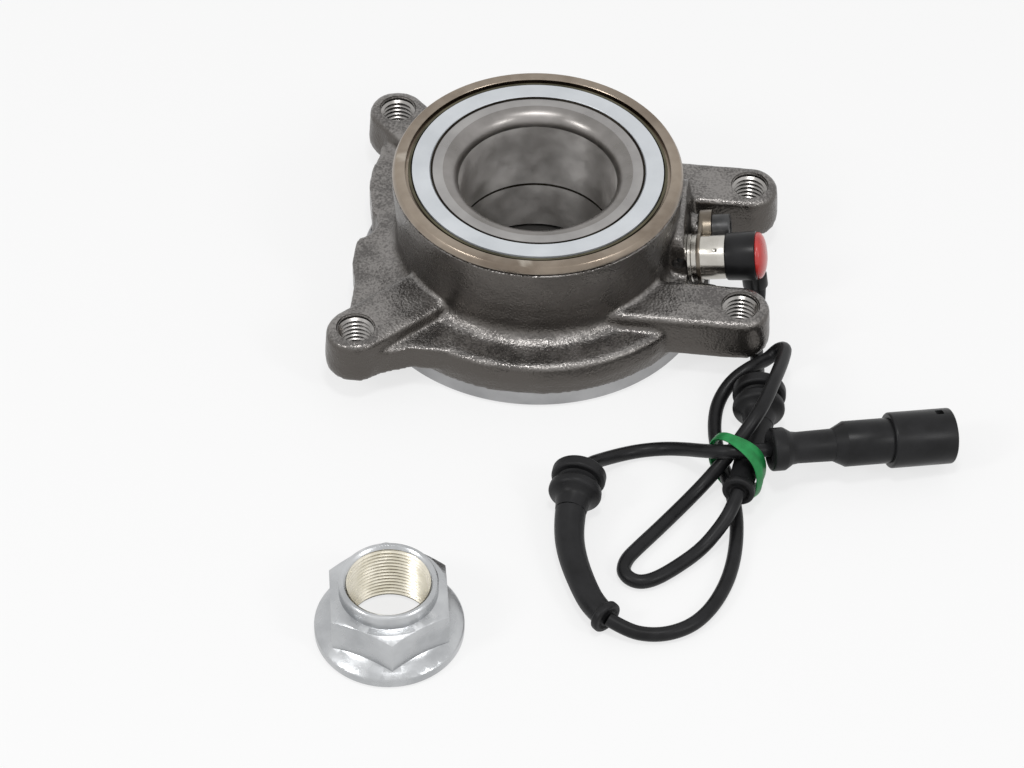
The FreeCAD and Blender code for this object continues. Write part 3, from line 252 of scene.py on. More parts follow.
def makeWallShadeGroup():
    # Mask is 1 where the surface faces up and 0 on upright walls, which take a painted wall shade
    group, source, sink = newGroup("wallShadeByFacing", [("Start", "NodeSocketFloat", 0.25)], ["Mask"])
    geometry = addNode(group, "ShaderNodeNewGeometry")
    apart = addNode(group, "ShaderNodeSeparateXYZ", {"Vector": geometry.outputs["Normal"]})
    ranged = addNode(group, "ShaderNodeMapRange", {
        "Value": apart.outputs["Z"], "From Min": source.outputs["Start"]}, interpolation_type="SMOOTHSTEP")
    group.links.new(ranged.outputs["Result"], sink.inputs["Mask"])
    return group


grainGroup = makeGrainGroup()
wallShadeGroup = makeWallShadeGroup()
turnedGroup = makeTurnedGroup()
wearGlintGroup = makeWearGlintGroup()


def blendColor(tree, factor, first, second):
    mix = tree.nodes.new("ShaderNodeMix")
    mix.data_type = "RGBA"
    tree.links.new(factor, mix.inputs["Factor"])
    colours = [socket for socket in mix.inputs if socket.type == "RGBA"]
    for socket, value in zip(colours, (first, second)):
        if isinstance(value, tuple):
            socket.default_value = (*value, 1.0)
        else:
            tree.links.new(value, socket)
    return [socket for socket in mix.outputs if socket.type == "RGBA"][0]


def spread(tree, value, low, high):
    ranged = addNode(tree, "ShaderNodeMapRange", {"Value": value})
    ranged.inputs["From Min"].default_value = 0.35
    ranged.inputs["From Max"].default_value = 0.65
    ranged.inputs["To Min"].default_value = low
    ranged.inputs["To Max"].default_value = high
    return ranged.outputs["Result"]


def makeMaterial(name, values):
    # one recipe for metal, moulded plastic and rubber, each with its own values
    material = bpy.data.materials.new(name)
    material.use_nodes = True
    tree = material.node_tree
    shader = tree.nodes["Principled BSDF"]
    coords = addNode(tree, "ShaderNodeTexCoord")
    grain = addNode(tree, "ShaderNodeGroup", node_tree=grainGroup)
    tree.links.new(coords.outputs["Object"], grain.inputs["Vector"])
    grain.inputs["Fine Scale"].default_value = values["fineScale"]
    grain.inputs["Broad Scale"].default_value = values["broadScale"]
    tone = spread(tree, grain.outputs["Broad"], 0.0, 1.0)
    if values.get("speckle"):
        fine = spread(tree, grain.outputs["Fine"], -values["speckle"], values["speckle"])
        tone = mathNode(tree, "ADD", tone, fine, clamp=True)
    colour = blendColor(tree, tone, values["dark"], values["light"])
    # upright walls blend to a darker wall colour: painted shade
    if values.get("side"):
        top = addNode(tree, "ShaderNodeGroup", node_tree=wallShadeGroup)
        colour = blendColor(tree, top.outputs["Mask"], values["side"], colour)
    # sharp edges blend to a pale colour: rubbed metal and a painted highlight in one
    if values.get("wearGlint"):
        wearGlint = addNode(tree, "ShaderNodeGroup", node_tree=wearGlintGroup)
        tree.links.new(coords.outputs["Object"], wearGlint.inputs["Vector"])
        wearGlint.inputs["Amount"].default_value = values["wearGlint"]
        colour = blendColor(tree, wearGlint.outputs["Mask"], colour, values["wornGlint"])
    tree.links.new(colour, shader.inputs["Base Color"])
    low, high = values["rough"]
    tree.links.new(spread(tree, grain.outputs["Broad"], low, high), shader.inputs["Roughness"])
    shader.inputs["Metallic"].default_value = values.get("metallic", 0.0)
    shader.inputs["Specular IOR Level"].default_value = values.get("specular", 0.5)
    shader.inputs["Coat Weight"].default_value = values.get("coat", 0.0)
    if values.get("brushed"):
        shader.inputs["Anisotropic"].default_value = values["brushed"]
        shader.inputs["Anisotropic Rotation"].default_value = 0.25
        tangent = addNode(tree, "ShaderNodeTangent", direction_type="RADIAL", axis="Z")
        tree.links.new(tangent.outputs["Tangent"], shader.inputs["Tangent"])
    height = grain.outputs["Fine"]
    if values.get("turned"):
        turned = addNode(tree, "ShaderNodeGroup", node_tree=turnedGroup)
        tree.links.new(coords.outputs["Object"], turned.inputs["Vector"])
        turned.inputs["Scale"].default_value = values["turned"]
        height = mathNode(tree, "ADD", mathNode(tree, "MULTIPLY", height, 0.35), turned.outputs["Marks"])
    bump = addNode(tree, "ShaderNodeBump", {"Height": height})
    bump.inputs["Strength"].default_value = values.get("bump", 0.3)
    bump.inputs["Distance"].default_value = values.get("depth", 0.1) * mm
    tree.links.new(bump.outputs["Normal"], shader.inputs["Normal"])
    return material


# in these finishes the pale colour for sharp edges is partly rubbed metal and partly a painted highlight
finishes = {
    # forging: its darker colour for upright walls is painted shade
    "forging": dict(dark=(0.11, 0.104, 0.1), light=(0.25, 0.238, 0.228), side=(0.1, 0.091, 0.083),
                    rough=(0.22, 0.34), metallic=0.85, fineScale=1250, broadScale=90, bump=1.0,
                    depth=0.2, speckle=0.45, wearGlint=0.6, wornGlint=(0.5, 0.48, 0.46)),
    "turnedRim": dict(dark=(0.17, 0.135, 0.105), light=(0.3, 0.25, 0.2), rough=(0.22, 0.34),
                      metallic=1.0, fineScale=2500, broadScale=45, bump=0.35, depth=0.05, turned=2600,
                      wearGlint=0.9, wornGlint=(0.6, 0.55, 0.48)),
    "spigotSteel": dict(dark=(0.3, 0.3, 0.305), light=(0.42, 0.42, 0.425), rough=(0.34, 0.46),
                        metallic=0.9, fineScale=2500, broadScale=50, bump=0.3, depth=0.04, turned=2400),
    "flingerSheet": dict(dark=(0.52, 0.545, 0.57), light=(0.6, 0.625, 0.65), rough=(0.4, 0.52),
                         metallic=0.35, fineScale=2600, broadScale=60, bump=0.2, depth=0.03,
                         turned=1800),
    "ringSteel": dict(dark=(0.2, 0.19, 0.18), light=(0.29, 0.275, 0.265), rough=(0.27, 0.38),
                      metallic=1.0, fineScale=2600, broadScale=60, bump=0.3, depth=0.04, turned=2600),
    "boreSteel": dict(dark=(0.58, 0.56, 0.54), light=(0.7, 0.68, 0.66), rough=(0.36, 0.46),
                      metallic=1.0, brushed=0.85, fineScale=1800, broadScale=90, bump=0.35, depth=0.05),
    # the seal carrier's dark colour is painted shade of the narrow groove it sits in
    "carrierSheetShade": dict(dark=(0.06, 0.055, 0.035), light=(0.13, 0.12, 0.08), rough=(0.35, 0.5),
                         metallic=0.9, fineScale=2600, broadScale=60, bump=0.2, depth=0.03,
                         turned=2000),
    "sealRubber": dict(dark=(0.012, 0.012, 0.012), light=(0.02, 0.02, 0.02), rough=(0.5, 0.62),
                       fineScale=3000, broadScale=120, bump=0.2, depth=0.03),
    "nickel": dict(dark=(0.46, 0.44, 0.4), light=(0.58, 0.56, 0.52), rough=(0.2, 0.3), metallic=1.0,
                   fineScale=2600, broadScale=90, bump=0.2, depth=0.03, wearGlint=0.5,
                   wornGlint=(0.8, 0.78, 0.74)),
    "bracketSteel": dict(dark=(0.12, 0.1, 0.08), light=(0.22, 0.19, 0.15), rough=(0.28, 0.42),
                         metallic=1.0, fineScale=2600, broadScale=90, bump=0.25, depth=0.04, wearGlint=0.6,
                         wornGlint=(0.75, 0.7, 0.6)),
    "mouldedBlack": dict(dark=(0.007, 0.007, 0.0075), light=(0.013, 0.013, 0.014), rough=(0.28, 0.4),
                         specular=0.2, fineScale=3500, broadScale=120, bump=0.22, depth=0.03),
    "capRed": dict(dark=(0.42, 0.022, 0.02), light=(0.52, 0.035, 0.03), rough=(0.24, 0.34),
                   fineScale=2600, broadScale=160, bump=0.15, depth=0.02, coat=0.3),
    "faceSteel": dict(dark=(0.3, 0.29, 0.285), light=(0.4, 0.39, 0.38), rough=(0.27, 0.36),
                      metallic=1.0, fineScale=2600, broadScale=60, bump=0.3, depth=0.04, turned=2600),
    "screwSteel": dict(dark=(0.008, 0.008, 0.009), light=(0.02, 0.02, 0.021), rough=(0.3, 0.42),
                       metallic=0.5, fineScale=3000, broadScale=200, bump=0.2, depth=0.03, wearGlint=0.8,
                       wornGlint=(0.3, 0.3, 0.3)),
    "zincPlate": dict(dark=(0.4, 0.41, 0.42), light=(0.54, 0.55, 0.56), rough=(0.22, 0.34),
                      metallic=1.0, fineScale=1600, broadScale=70, bump=0.3, depth=0.06, wearGlint=0.5,
                      wornGlint=(0.9, 0.9, 0.9)),
    "threadSteel": dict(dark=(0.26, 0.25, 0.24), light=(0.4, 0.385, 0.37), rough=(0.22, 0.34),
                        metallic=1.0, fineScale=2600, broadScale=150, bump=0.2, depth=0.03),
    "threadZinc": dict(dark=(0.62, 0.58, 0.47), light=(0.74, 0.7, 0.6), rough=(0.2, 0.3), metallic=1.0,
                       fineScale=2600, broadScale=150, bump=0.2, depth=0.03),
    "cableJacket": dict(dark=(0.006, 0.006, 0.0065), light=(0.012, 0.012, 0.013), rough=(0.32, 0.44),
                        specular=0.2, fineScale=3000, broadScale=150, bump=0.2, depth=0.03),
    "grommetRubber": dict(dark=(0.007, 0.007, 0.0075), light=(0.014, 0.014, 0.015), rough=(0.4, 0.52),
                          specular=0.2, fineScale=2600, broadScale=130, bump=0.25, depth=0.04),
    "bandRubber": dict(dark=(0.008, 0.12, 0.03), light=(0.02, 0.25, 0.07), rough=(0.34, 0.46),
                       specular=0.25, fineScale=2600, broadScale=160, bump=0.2, depth=0.03),
    "innerSteel": dict(dark=(0.5, 0.5, 0.5), light=(0.62, 0.62, 0.62), rough=(0.12, 0.2), metallic=1.0,
                       fineScale=2600, broadScale=90, bump=0.1, depth=0.02),
    "cagePlastic": dict(dark=(0.45, 0.38, 0.22), light=(0.55, 0.47, 0.3), rough=(0.4, 0.5),
                        fineScale=2600, broadScale=90, bump=0.2, depth=0.03),
    "splitShadow": dict(dark=(0.012, 0.01, 0.008), light=(0.03, 0.026, 0.02), rough=(0.8, 0.9),
                        specular=0.05, fineScale=2600, broadScale=90, bump=0.2, depth=0.03),
    "pinMetal": dict(dark=(0.6, 0.55, 0.4), light=(0.7, 0.65, 0.5), rough=(0.2, 0.3), metallic=1.0,
                     fineScale=2600, broadScale=90, bump=0.1, depth=0.02),
}
materials = {name: makeMaterial(name, values) for name, values in finishes.items()}
print("materials made:", len(materials))


# camera at the photograph's place

cameraSet = dict(place=(0.05896, -0.75552, 0.75229), pitch=43.2592, turn=5.0, roll=1.2222, lens=108.82)


def makeCamera(values):
    camera = bpy.data.cameras.new("camera")
    camera.lens = values["lens"]
    camera.sensor_width = 36
    camera.clip_start = 0.01
    viewer = bpy.data.objects.new("camera", camera)
    turn = Matrix.Rotation(math.radians(values["turn"]), 4, "Z")
    pitch = Matrix.Rotation(math.radians(values["pitch"]), 4, "X")
    roll = Matrix.Rotation(math.radians(values["roll"]), 4, "Z")
    viewer.matrix_world = Matrix.Translation(values["place"]) @ turn @ pitch @ roll
    bpy.context.scene.collection.objects.link(viewer)
    bpy.context.scene.camera = viewer


makeCamera(cameraSet)
print("camera placed")


# lead: three lengths of cable on their routes, in mm

leadSet = dict(radius=2.3, stiffness="medium")
routeSensor = [
    (76.9, -4.5, 10.5), (77.2, -4.9, 5.9), (77.0, -8.5, 2.4), (77.2, -15.5, 2.4),
    (77.3, -25.4, 2.4), (78.3, -34.2, 2.4), (78.7, -43.1, 5.0), (79.3, -51.3, 8.9)]
sleeveSensor = [
    (79.6, -67.4, 8.9), (78.6, -74.4, 8.6), (77.1, -83.3, 8.7), (75.8, -91.9, 9.5),
    (74.6, -99.0, 10.4)]
routeMiddle = [
    (74.6, -99.0, 10.4), (73.1, -105.3, 9.2), (69.5, -111.1, 5.8), (64.3, -117.6, 2.4),
    (56.4, -126.2, 2.4), (50.2, -131.6, 2.4), (44.9, -133.2, 2.4), (40.4, -129.9, 2.4),
    (40.9, -124.4, 2.4), (44.6, -118.6, 2.4), (50.1, -110.6, 2.4), (57.1, -99.9, 2.4),
    (62.8, -92.4, 4.2), (67.2, -87.8, 7.8), (70.9, -84.7, 12.2), (74.4, -80.4, 16.6),
    (78.2, -75.0, 19.8), (81.4, -67.1, 21.0), (83.4, -58.7, 20.6), (85.0, -51.2, 18.8),
    (86.2, -44.0, 16.8), (86.9, -37.4, 14.9), (84.6, -34.3, 11.0), (81.2, -36.9, 8.0),
    (76.4, -42.6, 10.4), (70.0, -46.8, 7.2), (66.0, -53.6, 3.6), (65.3, -62.4, 2.4),
    (66.5, -72.0, 2.5), (69.0, -81.0, 3.1), (71.6, -89.2, 4.0), (73.7, -95.6, 2.4),
    (75.0, -103.6, 2.4), (75.4, -112.2, 2.4), (74.9, -121.3, 2.4), (73.2, -130.5, 2.4),
    (69.5, -140.3, 2.4), (64.2, -147.9, 2.4), (57.4, -152.2, 2.4), (50.7, -153.7, 2.4),
    (43.8, -153.6, 3.5), (37.5, -151.2, 5.45)]
sleeveConnector = [
    (22.2, -110.8, 8.5), (22.0, -117.7, 6.9), (24.2, -128.0, 5.7), (28.9, -139.5, 5.4),
    (33.0, -147.0, 5.4), (37.5, -151.2, 5.45)]
routeConnector = [
    (23.7, -94.9, 9.5), (26.1, -90.6, 8.6), (30.2, -85.4, 5.4), (35.8, -80.4, 3.0),
    (42.6, -77.2, 2.4), (50.0, -76.6, 3.6), (56.6, -79.2, 7.0), (62.8, -84.0, 12.2),
    (69.3, -88.4, 17.5), (77.0, -87.1, 17.3), (83.8, -84.3, 15.8)]


def splineCurve(name, points, radius, radii=None):
    # a NURBS tube that uses the route's points as its control points
    curve = bpy.data.curves.new(name, "CURVE")
    curve.dimensions = "3D"
    curve.bevel_depth = radius * mm
    curve.bevel_resolution = 5
    curve.resolution_u = 7
    curve.use_fill_caps = True
    spline = curve.splines.new("NURBS")
    spline.points.add(len(points) - 1)
    for index, (x, y, z) in enumerate(points):
        spline.points[index].co = (x * mm, y * mm, z * mm, 1)
        spline.points[index].radius = 1.0 if radii is None else radii[index] / radius
    spline.order_u = 3
    spline.use_endpoint_u = True
    spline.use_smooth = True
    piece = bpy.data.objects.new(name, curve)
    bpy.context.scene.collection.objects.link(piece)
    return piece


def curveToMesh(piece):
    pick(piece)
    bpy.ops.object.convert(target="MESH")
    piece = bpy.context.object
    tidyMesh(piece)
    smoothShade(piece, 50)
    return piece


def routeLine(piece):
    # points along a curve without its bevel, in metres
    copy = piece.data.copy()
    copy.bevel_depth = 0
    copy.use_fill_caps = False
    probe = bpy.data.objects.new("line", copy)
    bpy.context.scene.collection.objects.link(probe)
    mesh = bpy.data.meshes.new_from_object(probe.evaluated_get(bpy.context.evaluated_depsgraph_get()))
    points = [vertex.co.copy() for vertex in mesh.vertices]
    bpy.data.objects.remove(probe, do_unlink=True)
    return points


def lineLength(points):
    return sum((after - before).length for before, after in zip(points, points[1:]))


cables = {}
for cableName, route in (("cable_sensor", routeSensor), ("cable_middle", routeMiddle),
                         ("cable_connector", routeConnector)):
    cable = splineCurve(cableName + "_jacket", route, leadSet["radius"])
    cables[cableName] = cable
    finishPiece(cable, "housing", materials["cableJacket"], [cableName])
print("cables laid")


# grommets with their tapered rubber sleeves

grommetSet = dict(disc=8.8, groove=6.1, thick=4.2, gap=2.6, edge=1.1, tail=5.5, sleeveThick=5.0,
                  sleeveEnd=3.9, collar=5.3, collarWidth=2.6, collarEdge=0.7)


def aimMatrix(start, end, roll=0.0):
    direction = Vector(end) - Vector(start)
    turn = Vector((0, 0, 1)).rotation_difference(direction).to_matrix().to_4x4()
    return Matrix.Translation(Vector(start) * mm) @ turn @ Matrix.Rotation(math.radians(roll), 4, "Z")


def makeGrommet(name, node, entry, tail, values):
    disc, thick, gap, edge = values["disc"], values["thick"], values["gap"], values["edge"]
    second = thick + gap
    profile = [(0, 0.4), (2.6, 0.4), (3.0, 0)]
    profile += arcPoints((disc - edge, edge), edge, -90, 0)
    profile += arcPoints((disc - edge, thick - edge), edge, 0, 90)
    profile += [(values["groove"] + 0.5, thick), (values["groove"], thick + 0.5)]
    profile += [(values["groove"], second - 0.5), (values["groove"] + 0.5, second)]
    profile += arcPoints((disc - edge - 0.3, second + edge), edge, -90, 0)
    profile += arcPoints((disc - 2.2, second + thick - 2.0), 2.0, 0, 60)
    profile += [(values["tail"] + 0.6, second + thick + 0.7), (values["tail"], second + thick + 2.0)]
    length = (Vector(tail) - Vector(entry)).length
    profile += [(values["sleeveThick"], length + 0.6), (0, length + 0.6)]
    piece = lathe(name, profile, 64, aimMatrix(entry, tail), 40)
    return finishPiece(piece, "housing", materials["grommetRubber"], [node])


def makeSleeve(name, node, points, values):
    count = len(points)
    radii = [values["sleeveThick"] + (values["sleeveEnd"] - values["sleeveThick"]) * index / (count - 1)
             for index in range(count)]
    tube = curveToMesh(splineCurve(name, points, values["sleeveThick"], radii))
    finishPiece(tube, "housing", materials["grommetRubber"], [node])
    end, before = Vector(points[-1]), Vector(points[-2])
    start = end - (end - before).normalized() * values["collarWidth"]
    radius, width, edge = values["collar"], values["collarWidth"], values["collarEdge"]
    jacket = leadSet["radius"]
    profile = [(values["sleeveEnd"] - 0.6, -0.5), (values["sleeveEnd"] + 0.1, -0.5)]
    profile += arcPoints((radius - edge, edge), edge, -90, 0, 4)
    profile += arcPoints((radius - edge, width - edge), edge, 0, 90, 4)
    profile += [(jacket + 0.5, width), (jacket, width - 0.6), (jacket, 0)]
    collar = lathe(name + "_collar", profile, 48, aimMatrix(start, end), 40)
    finishPiece(collar, "housing", materials["grommetRubber"])
    return [tube, collar]


onSensorCable = [makeGrommet("grommet_sensor_body", "grommet_sensor", routeSensor[-1], sleeveSensor[0],
                             grommetSet)]
onSensorCable += makeSleeve("sleeve_sensor_body", "sleeve_sensor", sleeveSensor, grommetSet)
onConnectorCable = [makeGrommet("grommet_connector_body", "grommet_connector", routeConnector[0],
                                sleeveConnector[0], grommetSet)]
onMiddleCable = makeSleeve("sleeve_connector_body", "sleeve_connector", sleeveConnector, grommetSet)
print("grommets and sleeves made")


# connector: rear boot and shell with its socket

connectorSet = dict(rear=(83.8, -84.3, 15.8), front=(145.0, -65.2, 9.9), roll=40.0, collar=7.0,
                    collarLength=6.4, neck=5.3, neckLength=14.4, body=7.4, bodyLength=19.0, cone=3.4,
                    barrel=9.1, barrelLength=21.2, wall=1.6, socket=15.0, slotRoll=89.0, slotPlace=3.2,
                    keyWidth=2.6, keyLength=2.6)


def makeConnector(values):
    place = aimMatrix(values["rear"], values["front"], values["roll"])
    collar = values["collarLength"]
    neck = collar + values["neckLength"]
    body = neck + values["bodyLength"]
    end = body + values["barrelLength"]
    profile = [(0, 0.3), (leadSet["radius"], 0.3), (leadSet["radius"] + 0.4, 0)]
    profile += arcPoints((values["collar"] - 0.8, 0.8), 0.8, -90, 0, 4)
    profile += [(values["collar"], collar - 2.2), (values["collar"] - 0.1, collar - 1.9)]
    profile += [(values["neck"] + 0.5, collar - 0.1), (values["neck"] + 0.1, collar + 0.5)]
    profile += [(values["neck"] - 0.2, collar + 2.5), (values["neck"], neck), (0, neck)]
    boot = lathe("connector_boot_body", profile, 72, place, 40)
    finishPiece(boot, "housing", materials["grommetRubber"], ["connector_boot"])
    barrel, wall = values["barrel"], values["wall"]
    profile = [(0, neck), (values["neck"] + 0.1, neck), (values["body"] - 0.3, neck + values["cone"]),
               (values["body"], neck + values["cone"] + 0.5), (values["body"], body)]
    profile += arcPoints((barrel - 0.8, body + 0.8), 0.8, -90, 0, 4)
    profile += arcPoints((barrel - 0.6, end - 0.6), 0.6, 0, 90, 4)
    profile += [(barrel - wall + 0.4, end), (barrel - wall, end - 0.4),
                (barrel - wall, end - values["socket"]), (0, end - values["socket"])]
    shell = lathe("connector_shell_body", profile, 96, None, 40)
    deselectAll()
    middle = end - values["slotPlace"] - values["keyLength"] / 2
    bpy.ops.mesh.primitive_cube_add(size=1, location=(0, barrel * mm, middle * mm))
    slot = bpy.context.object
    slot.scale = (values["keyWidth"] * mm, wall * 3 * mm, values["keyLength"] * mm)
    applyPlace(slot)
    applyPlace(slot, Matrix.Rotation(math.radians(values["slotRoll"] - values["roll"]), 4, "Z"))
    applyModifier(slot, "BEVEL", "round", width=0.4 * mm, segments=2)
    cut(shell, slot)
    applyPlace(shell, place)
    smoothShade(shell, 35)
    finishPiece(shell, "housing", materials["mouldedBlack"], ["connector_shell"])
    return [boot, shell]


onConnectorCable += makeConnector(connectorSet)
onConnectorCable += [nodes["connector_insert"], nodes["connector_pins"]]
print("connector made")


# elastic band: turns of a thin strip round the bundle

bandSet = dict(thick=0.3, corner=1.55, turns=[
    dict(place=(73.45, -86.2, 10.65), wide=9.8, high=10.3, swing=-30, lean=0, strip=1.0),
    dict(place=(73.3, -87.3, 10.65), wide=10.1, high=10.3, swing=-35.4, lean=2, strip=1.1),
    dict(place=(73.5, -88.5, 10.55), wide=10.2, high=10.2, swing=-41, lean=-2, strip=1.1),
    dict(place=(74.0, -85.4, 10.5), wide=9.3, high=10.2, swing=-24, lean=2, strip=0.8)])


def makeBand(values):
    turns = []
    for turnSet in values["turns"]:
        deselectAll()
        bpy.ops.curve.primitive_nurbs_circle_add(radius=1, location=(0, 0, 0))
        loop = bpy.context.object
        loop.data.bevel_depth = values["thick"] * mm
        loop.data.extrude = turnSet["strip"] * mm
        loop.data.bevel_resolution = 3
        loop.data.resolution_u = 12
        for point in loop.data.splines[0].points:
            atCorner = abs(point.co.x) > 0.5 and abs(point.co.y) > 0.5
            weight = point.co.w * (values["corner"] if atCorner else 1.0)
            point.co = (point.co.x * turnSet["wide"] * mm, point.co.y * turnSet["high"] * mm, 0, weight)
        turn = Euler((math.radians(90 + turnSet["lean"]), 0, math.radians(turnSet["swing"])))
        loop.matrix_world = Matrix.Translation(Vector(turnSet["place"]) * mm) @ turn.to_matrix().to_4x4()
        mesh = curveToMesh(loop)
        applyPlace(mesh)
        turns.append(mesh)
    deselectAll()
    for turn in turns:
        turn.select_set(True)
    bpy.context.view_layer.objects.active = turns[0]
    bpy.ops.object.join()
    band = bpy.context.object
    band.name = "rubber_band_turns"
    return finishPiece(band, "housing", materials["bandRubber"], ["rubber_band"])


onMiddleCable.append(makeBand(bandSet))
print("band wound")

for cableName, withPieces, exitPoint, farEnd in (
        ("cable_sensor", onSensorCable, routeSensor[0], "fitting"),
        ("cable_middle", onMiddleCable, routeMiddle[0], "fitting"),
        ("cable_connector", onConnectorCable, routeConnector[0], "connector")):
    cable = cables[cableName]
    lineLength(routeLine(cable))


# outer ring: forged skin, turned rim, spigot and threads

ringSet = dict(voxel=0.9, smoothing=3, rimRadius=48.5, faceRadius=47.5, top=52.4, bandFoot=49.9,
               seat=43.2, lip=44.2, wall=45.5, throat=44.2, neck=46.6, spigotRadius=60.0, spigotTop=7.05,
               earCircle=76.75, earAngles=(22.5, -22.5, 135, -135), earTop=25.0, earHole=5.1,
               earThread=6.0, threadLow=9.6, threadHigh=24.4, pitch=1.75,
               rib=6.0, ribPlace=(59.0, -19.5), ribLow=12.0, ribHigh=19.0,
               recess=(49.2, -11.4, 25.0), recessSize=(2.6, 3.4, 2.4),
               lumps=0.3, lumpSize=0.006, pits=0.14, pitSize=0.0018)


def earPlaces(values):
    return [(values["earCircle"] * math.cos(math.radians(angle)),
             values["earCircle"] * math.sin(math.radians(angle))) for angle in values["earAngles"]]


def sliceAt(piece, height, keepAbove):
    # cuts the piece at a height and closes it
    pick(piece)
    bpy.ops.object.mode_set(mode="EDIT")
    bpy.ops.mesh.select_all(action="SELECT")
    bpy.ops.mesh.bisect(plane_co=(0, 0, height * mm), plane_no=(0, 0, 1), use_fill=True,
                        clear_inner=keepAbove, clear_outer=not keepAbove)
    bpy.ops.object.mode_set(mode="OBJECT")


def makeForging(values):
    skin = copyNode("outer_ring", "outer_ring_forging")
    wall, rim = values["wall"], values["rimRadius"]
    profile = [(0, 3), (wall, 3), (wall, 28), (47.3, 31), (rim, 44.5), (rim, 48), (wall, 51), (0, 51)]
    cut(skin, lathe("core", profile, 96), "UNION")
    rib = cylinder("rib", values["rib"], values["ribLow"], values["ribHigh"], values["ribPlace"], 32)
    cut(skin, rib, "UNION")
    for x, y in earPlaces(values):
        low, high = values["spigotTop"] + 4, values["earTop"] - 0.02
        cut(skin, cylinder("plug", values["earHole"] + 1.5, low, high, (x, y)), "UNION")
    sliceAt(skin, values["spigotTop"], True)
    sliceAt(skin, values["bandFoot"] + 0.6, False)
    applyModifier(skin, "REMESH", "voxels", mode="VOXEL", voxel_size=values["voxel"] * mm, adaptivity=0)
    applyModifier(skin, "SMOOTH", "soften", factor=0.5, iterations=values["smoothing"])
    for name, size in (("lumps", values["lumpSize"]), ("pits", values["pitSize"])):
        clouds = bpy.data.textures.new(name, "CLOUDS")
        clouds.noise_scale = size
        applyModifier(skin, "DISPLACE", name, texture=clouds, texture_coords="LOCAL", mid_level=0.5,
                      strength=values[name] * mm)
    for vertex in skin.data.vertices:
        radius = vertex.co.xy.length
        if vertex.co.z > (values["bandFoot"] - 0.3) * mm and radius > values["neck"] * mm:
            vertex.co.xy *= values["neck"] * mm / radius
    cut(skin, cylinder("bore", values["throat"], -1, 60, vertices=128))
    deselectAll()
    bpy.ops.mesh.primitive_uv_sphere_add(segments=32, ring_count=16, radius=mm,
                                         location=[value * mm for value in values["recess"]])
    recess = bpy.context.object
    recess.scale = values["recessSize"]
    applyPlace(recess)
    cut(skin, recess)
    hole, top = values["earThread"], values["earTop"]
    profile = [(0, 2), (hole, 2), (hole, top - 0.7), (hole + 0.35, top - 0.3), (hole + 0.8, top + 1)]
    profile += [(0, top + 1)]
    for x, y in earPlaces(values):
        cut(skin, lathe("hole", profile, 64, Matrix.Translation((x * mm, y * mm, 0))))
    smoothShade(skin, 40)
    return finishPiece(skin, "housing", materials["forging"], ["outer_ring"])


def makeRim(values):
    rim, face, top, foot = values["rimRadius"], values["faceRadius"], values["top"], values["bandFoot"]
    neck, lip, seat = values["neck"], values["lip"], values["seat"]
    profile = [(seat, foot - 1.5), (neck - 0.3, foot - 1.5), (neck + 0.3, foot - 0.2), (rim - 0.2, foot)]
    profile += [(rim, foot + 0.25), (rim - 0.1, foot + 0.9), (face + 0.3, top - 0.35), (face, top - 0.06)]
    profile += [(face - 0.25, top), (lip + 0.2, top), (lip, top - 0.2), (lip - 0.1, top - 1.9)]
    profile += [(seat, top - 1.9)]
    return lathe("outer_ring_rim", profile, 192, angle=30)


def makeSpigot(values):
    radius, top = values["spigotRadius"], values["spigotTop"]
    profile = [(44.0, 0.6), (44.6, 0), (46.5, 0), (46.5, 1.5), (56, 1.5), (56, 0), (radius - 1, 0)]
    profile += [(radius, 1), (radius, top - 0.6), (radius - 0.5, top), (43.4, top), (43.4, 1.2)]
    return lathe("outer_ring_spigot", profile, 192, angle=30)


def threadProfile(minor, major, low, high, pitch):
    # ridges of a thread, closed by a straight back
    points = [(major + 0.25, low), (major, low)]
    height = low
    while height + pitch <= high:
        points += [(major, height + pitch * 0.12), (minor, height + pitch * 0.44),
                   (minor, height + pitch * 0.56), (major, height + pitch * 0.88)]
        height += pitch
    return points + [(major, high), (major + 0.25, high)]


def makeThread(name, place, minor, major, low, high, pitch, steps=64):
    profile = threadProfile(minor, major, low, high, pitch)
    return lathe(name, profile, steps, Matrix.Translation((place[0] * mm, place[1] * mm, 0)), 25)


makeForging(ringSet)
print("forging made")
finishPiece(makeRim(ringSet), "housing", materials["turnedRim"])
finishPiece(makeSpigot(ringSet), "housing", materials["spigotSteel"])
for index, place in enumerate(earPlaces(ringSet)):
    thread = makeThread("ear_thread_%d" % (index + 1), place, ringSet["earHole"], ringSet["earThread"],
                        ringSet["threadLow"], ringSet["threadHigh"], ringSet["pitch"])
    finishPiece(thread, "housing", materials["threadSteel"])
print("rim, spigot and ear threads made")


# bearing parts that show: inner rings, their face land and bore wall, and dark rings of painted shadow

bearingSet = dict(bore=26.5, lead=5.0, split=20.0, top=51.5, foot=0.6, shoulder=35.4, groove=31.9,
                  faceInner=31.7)


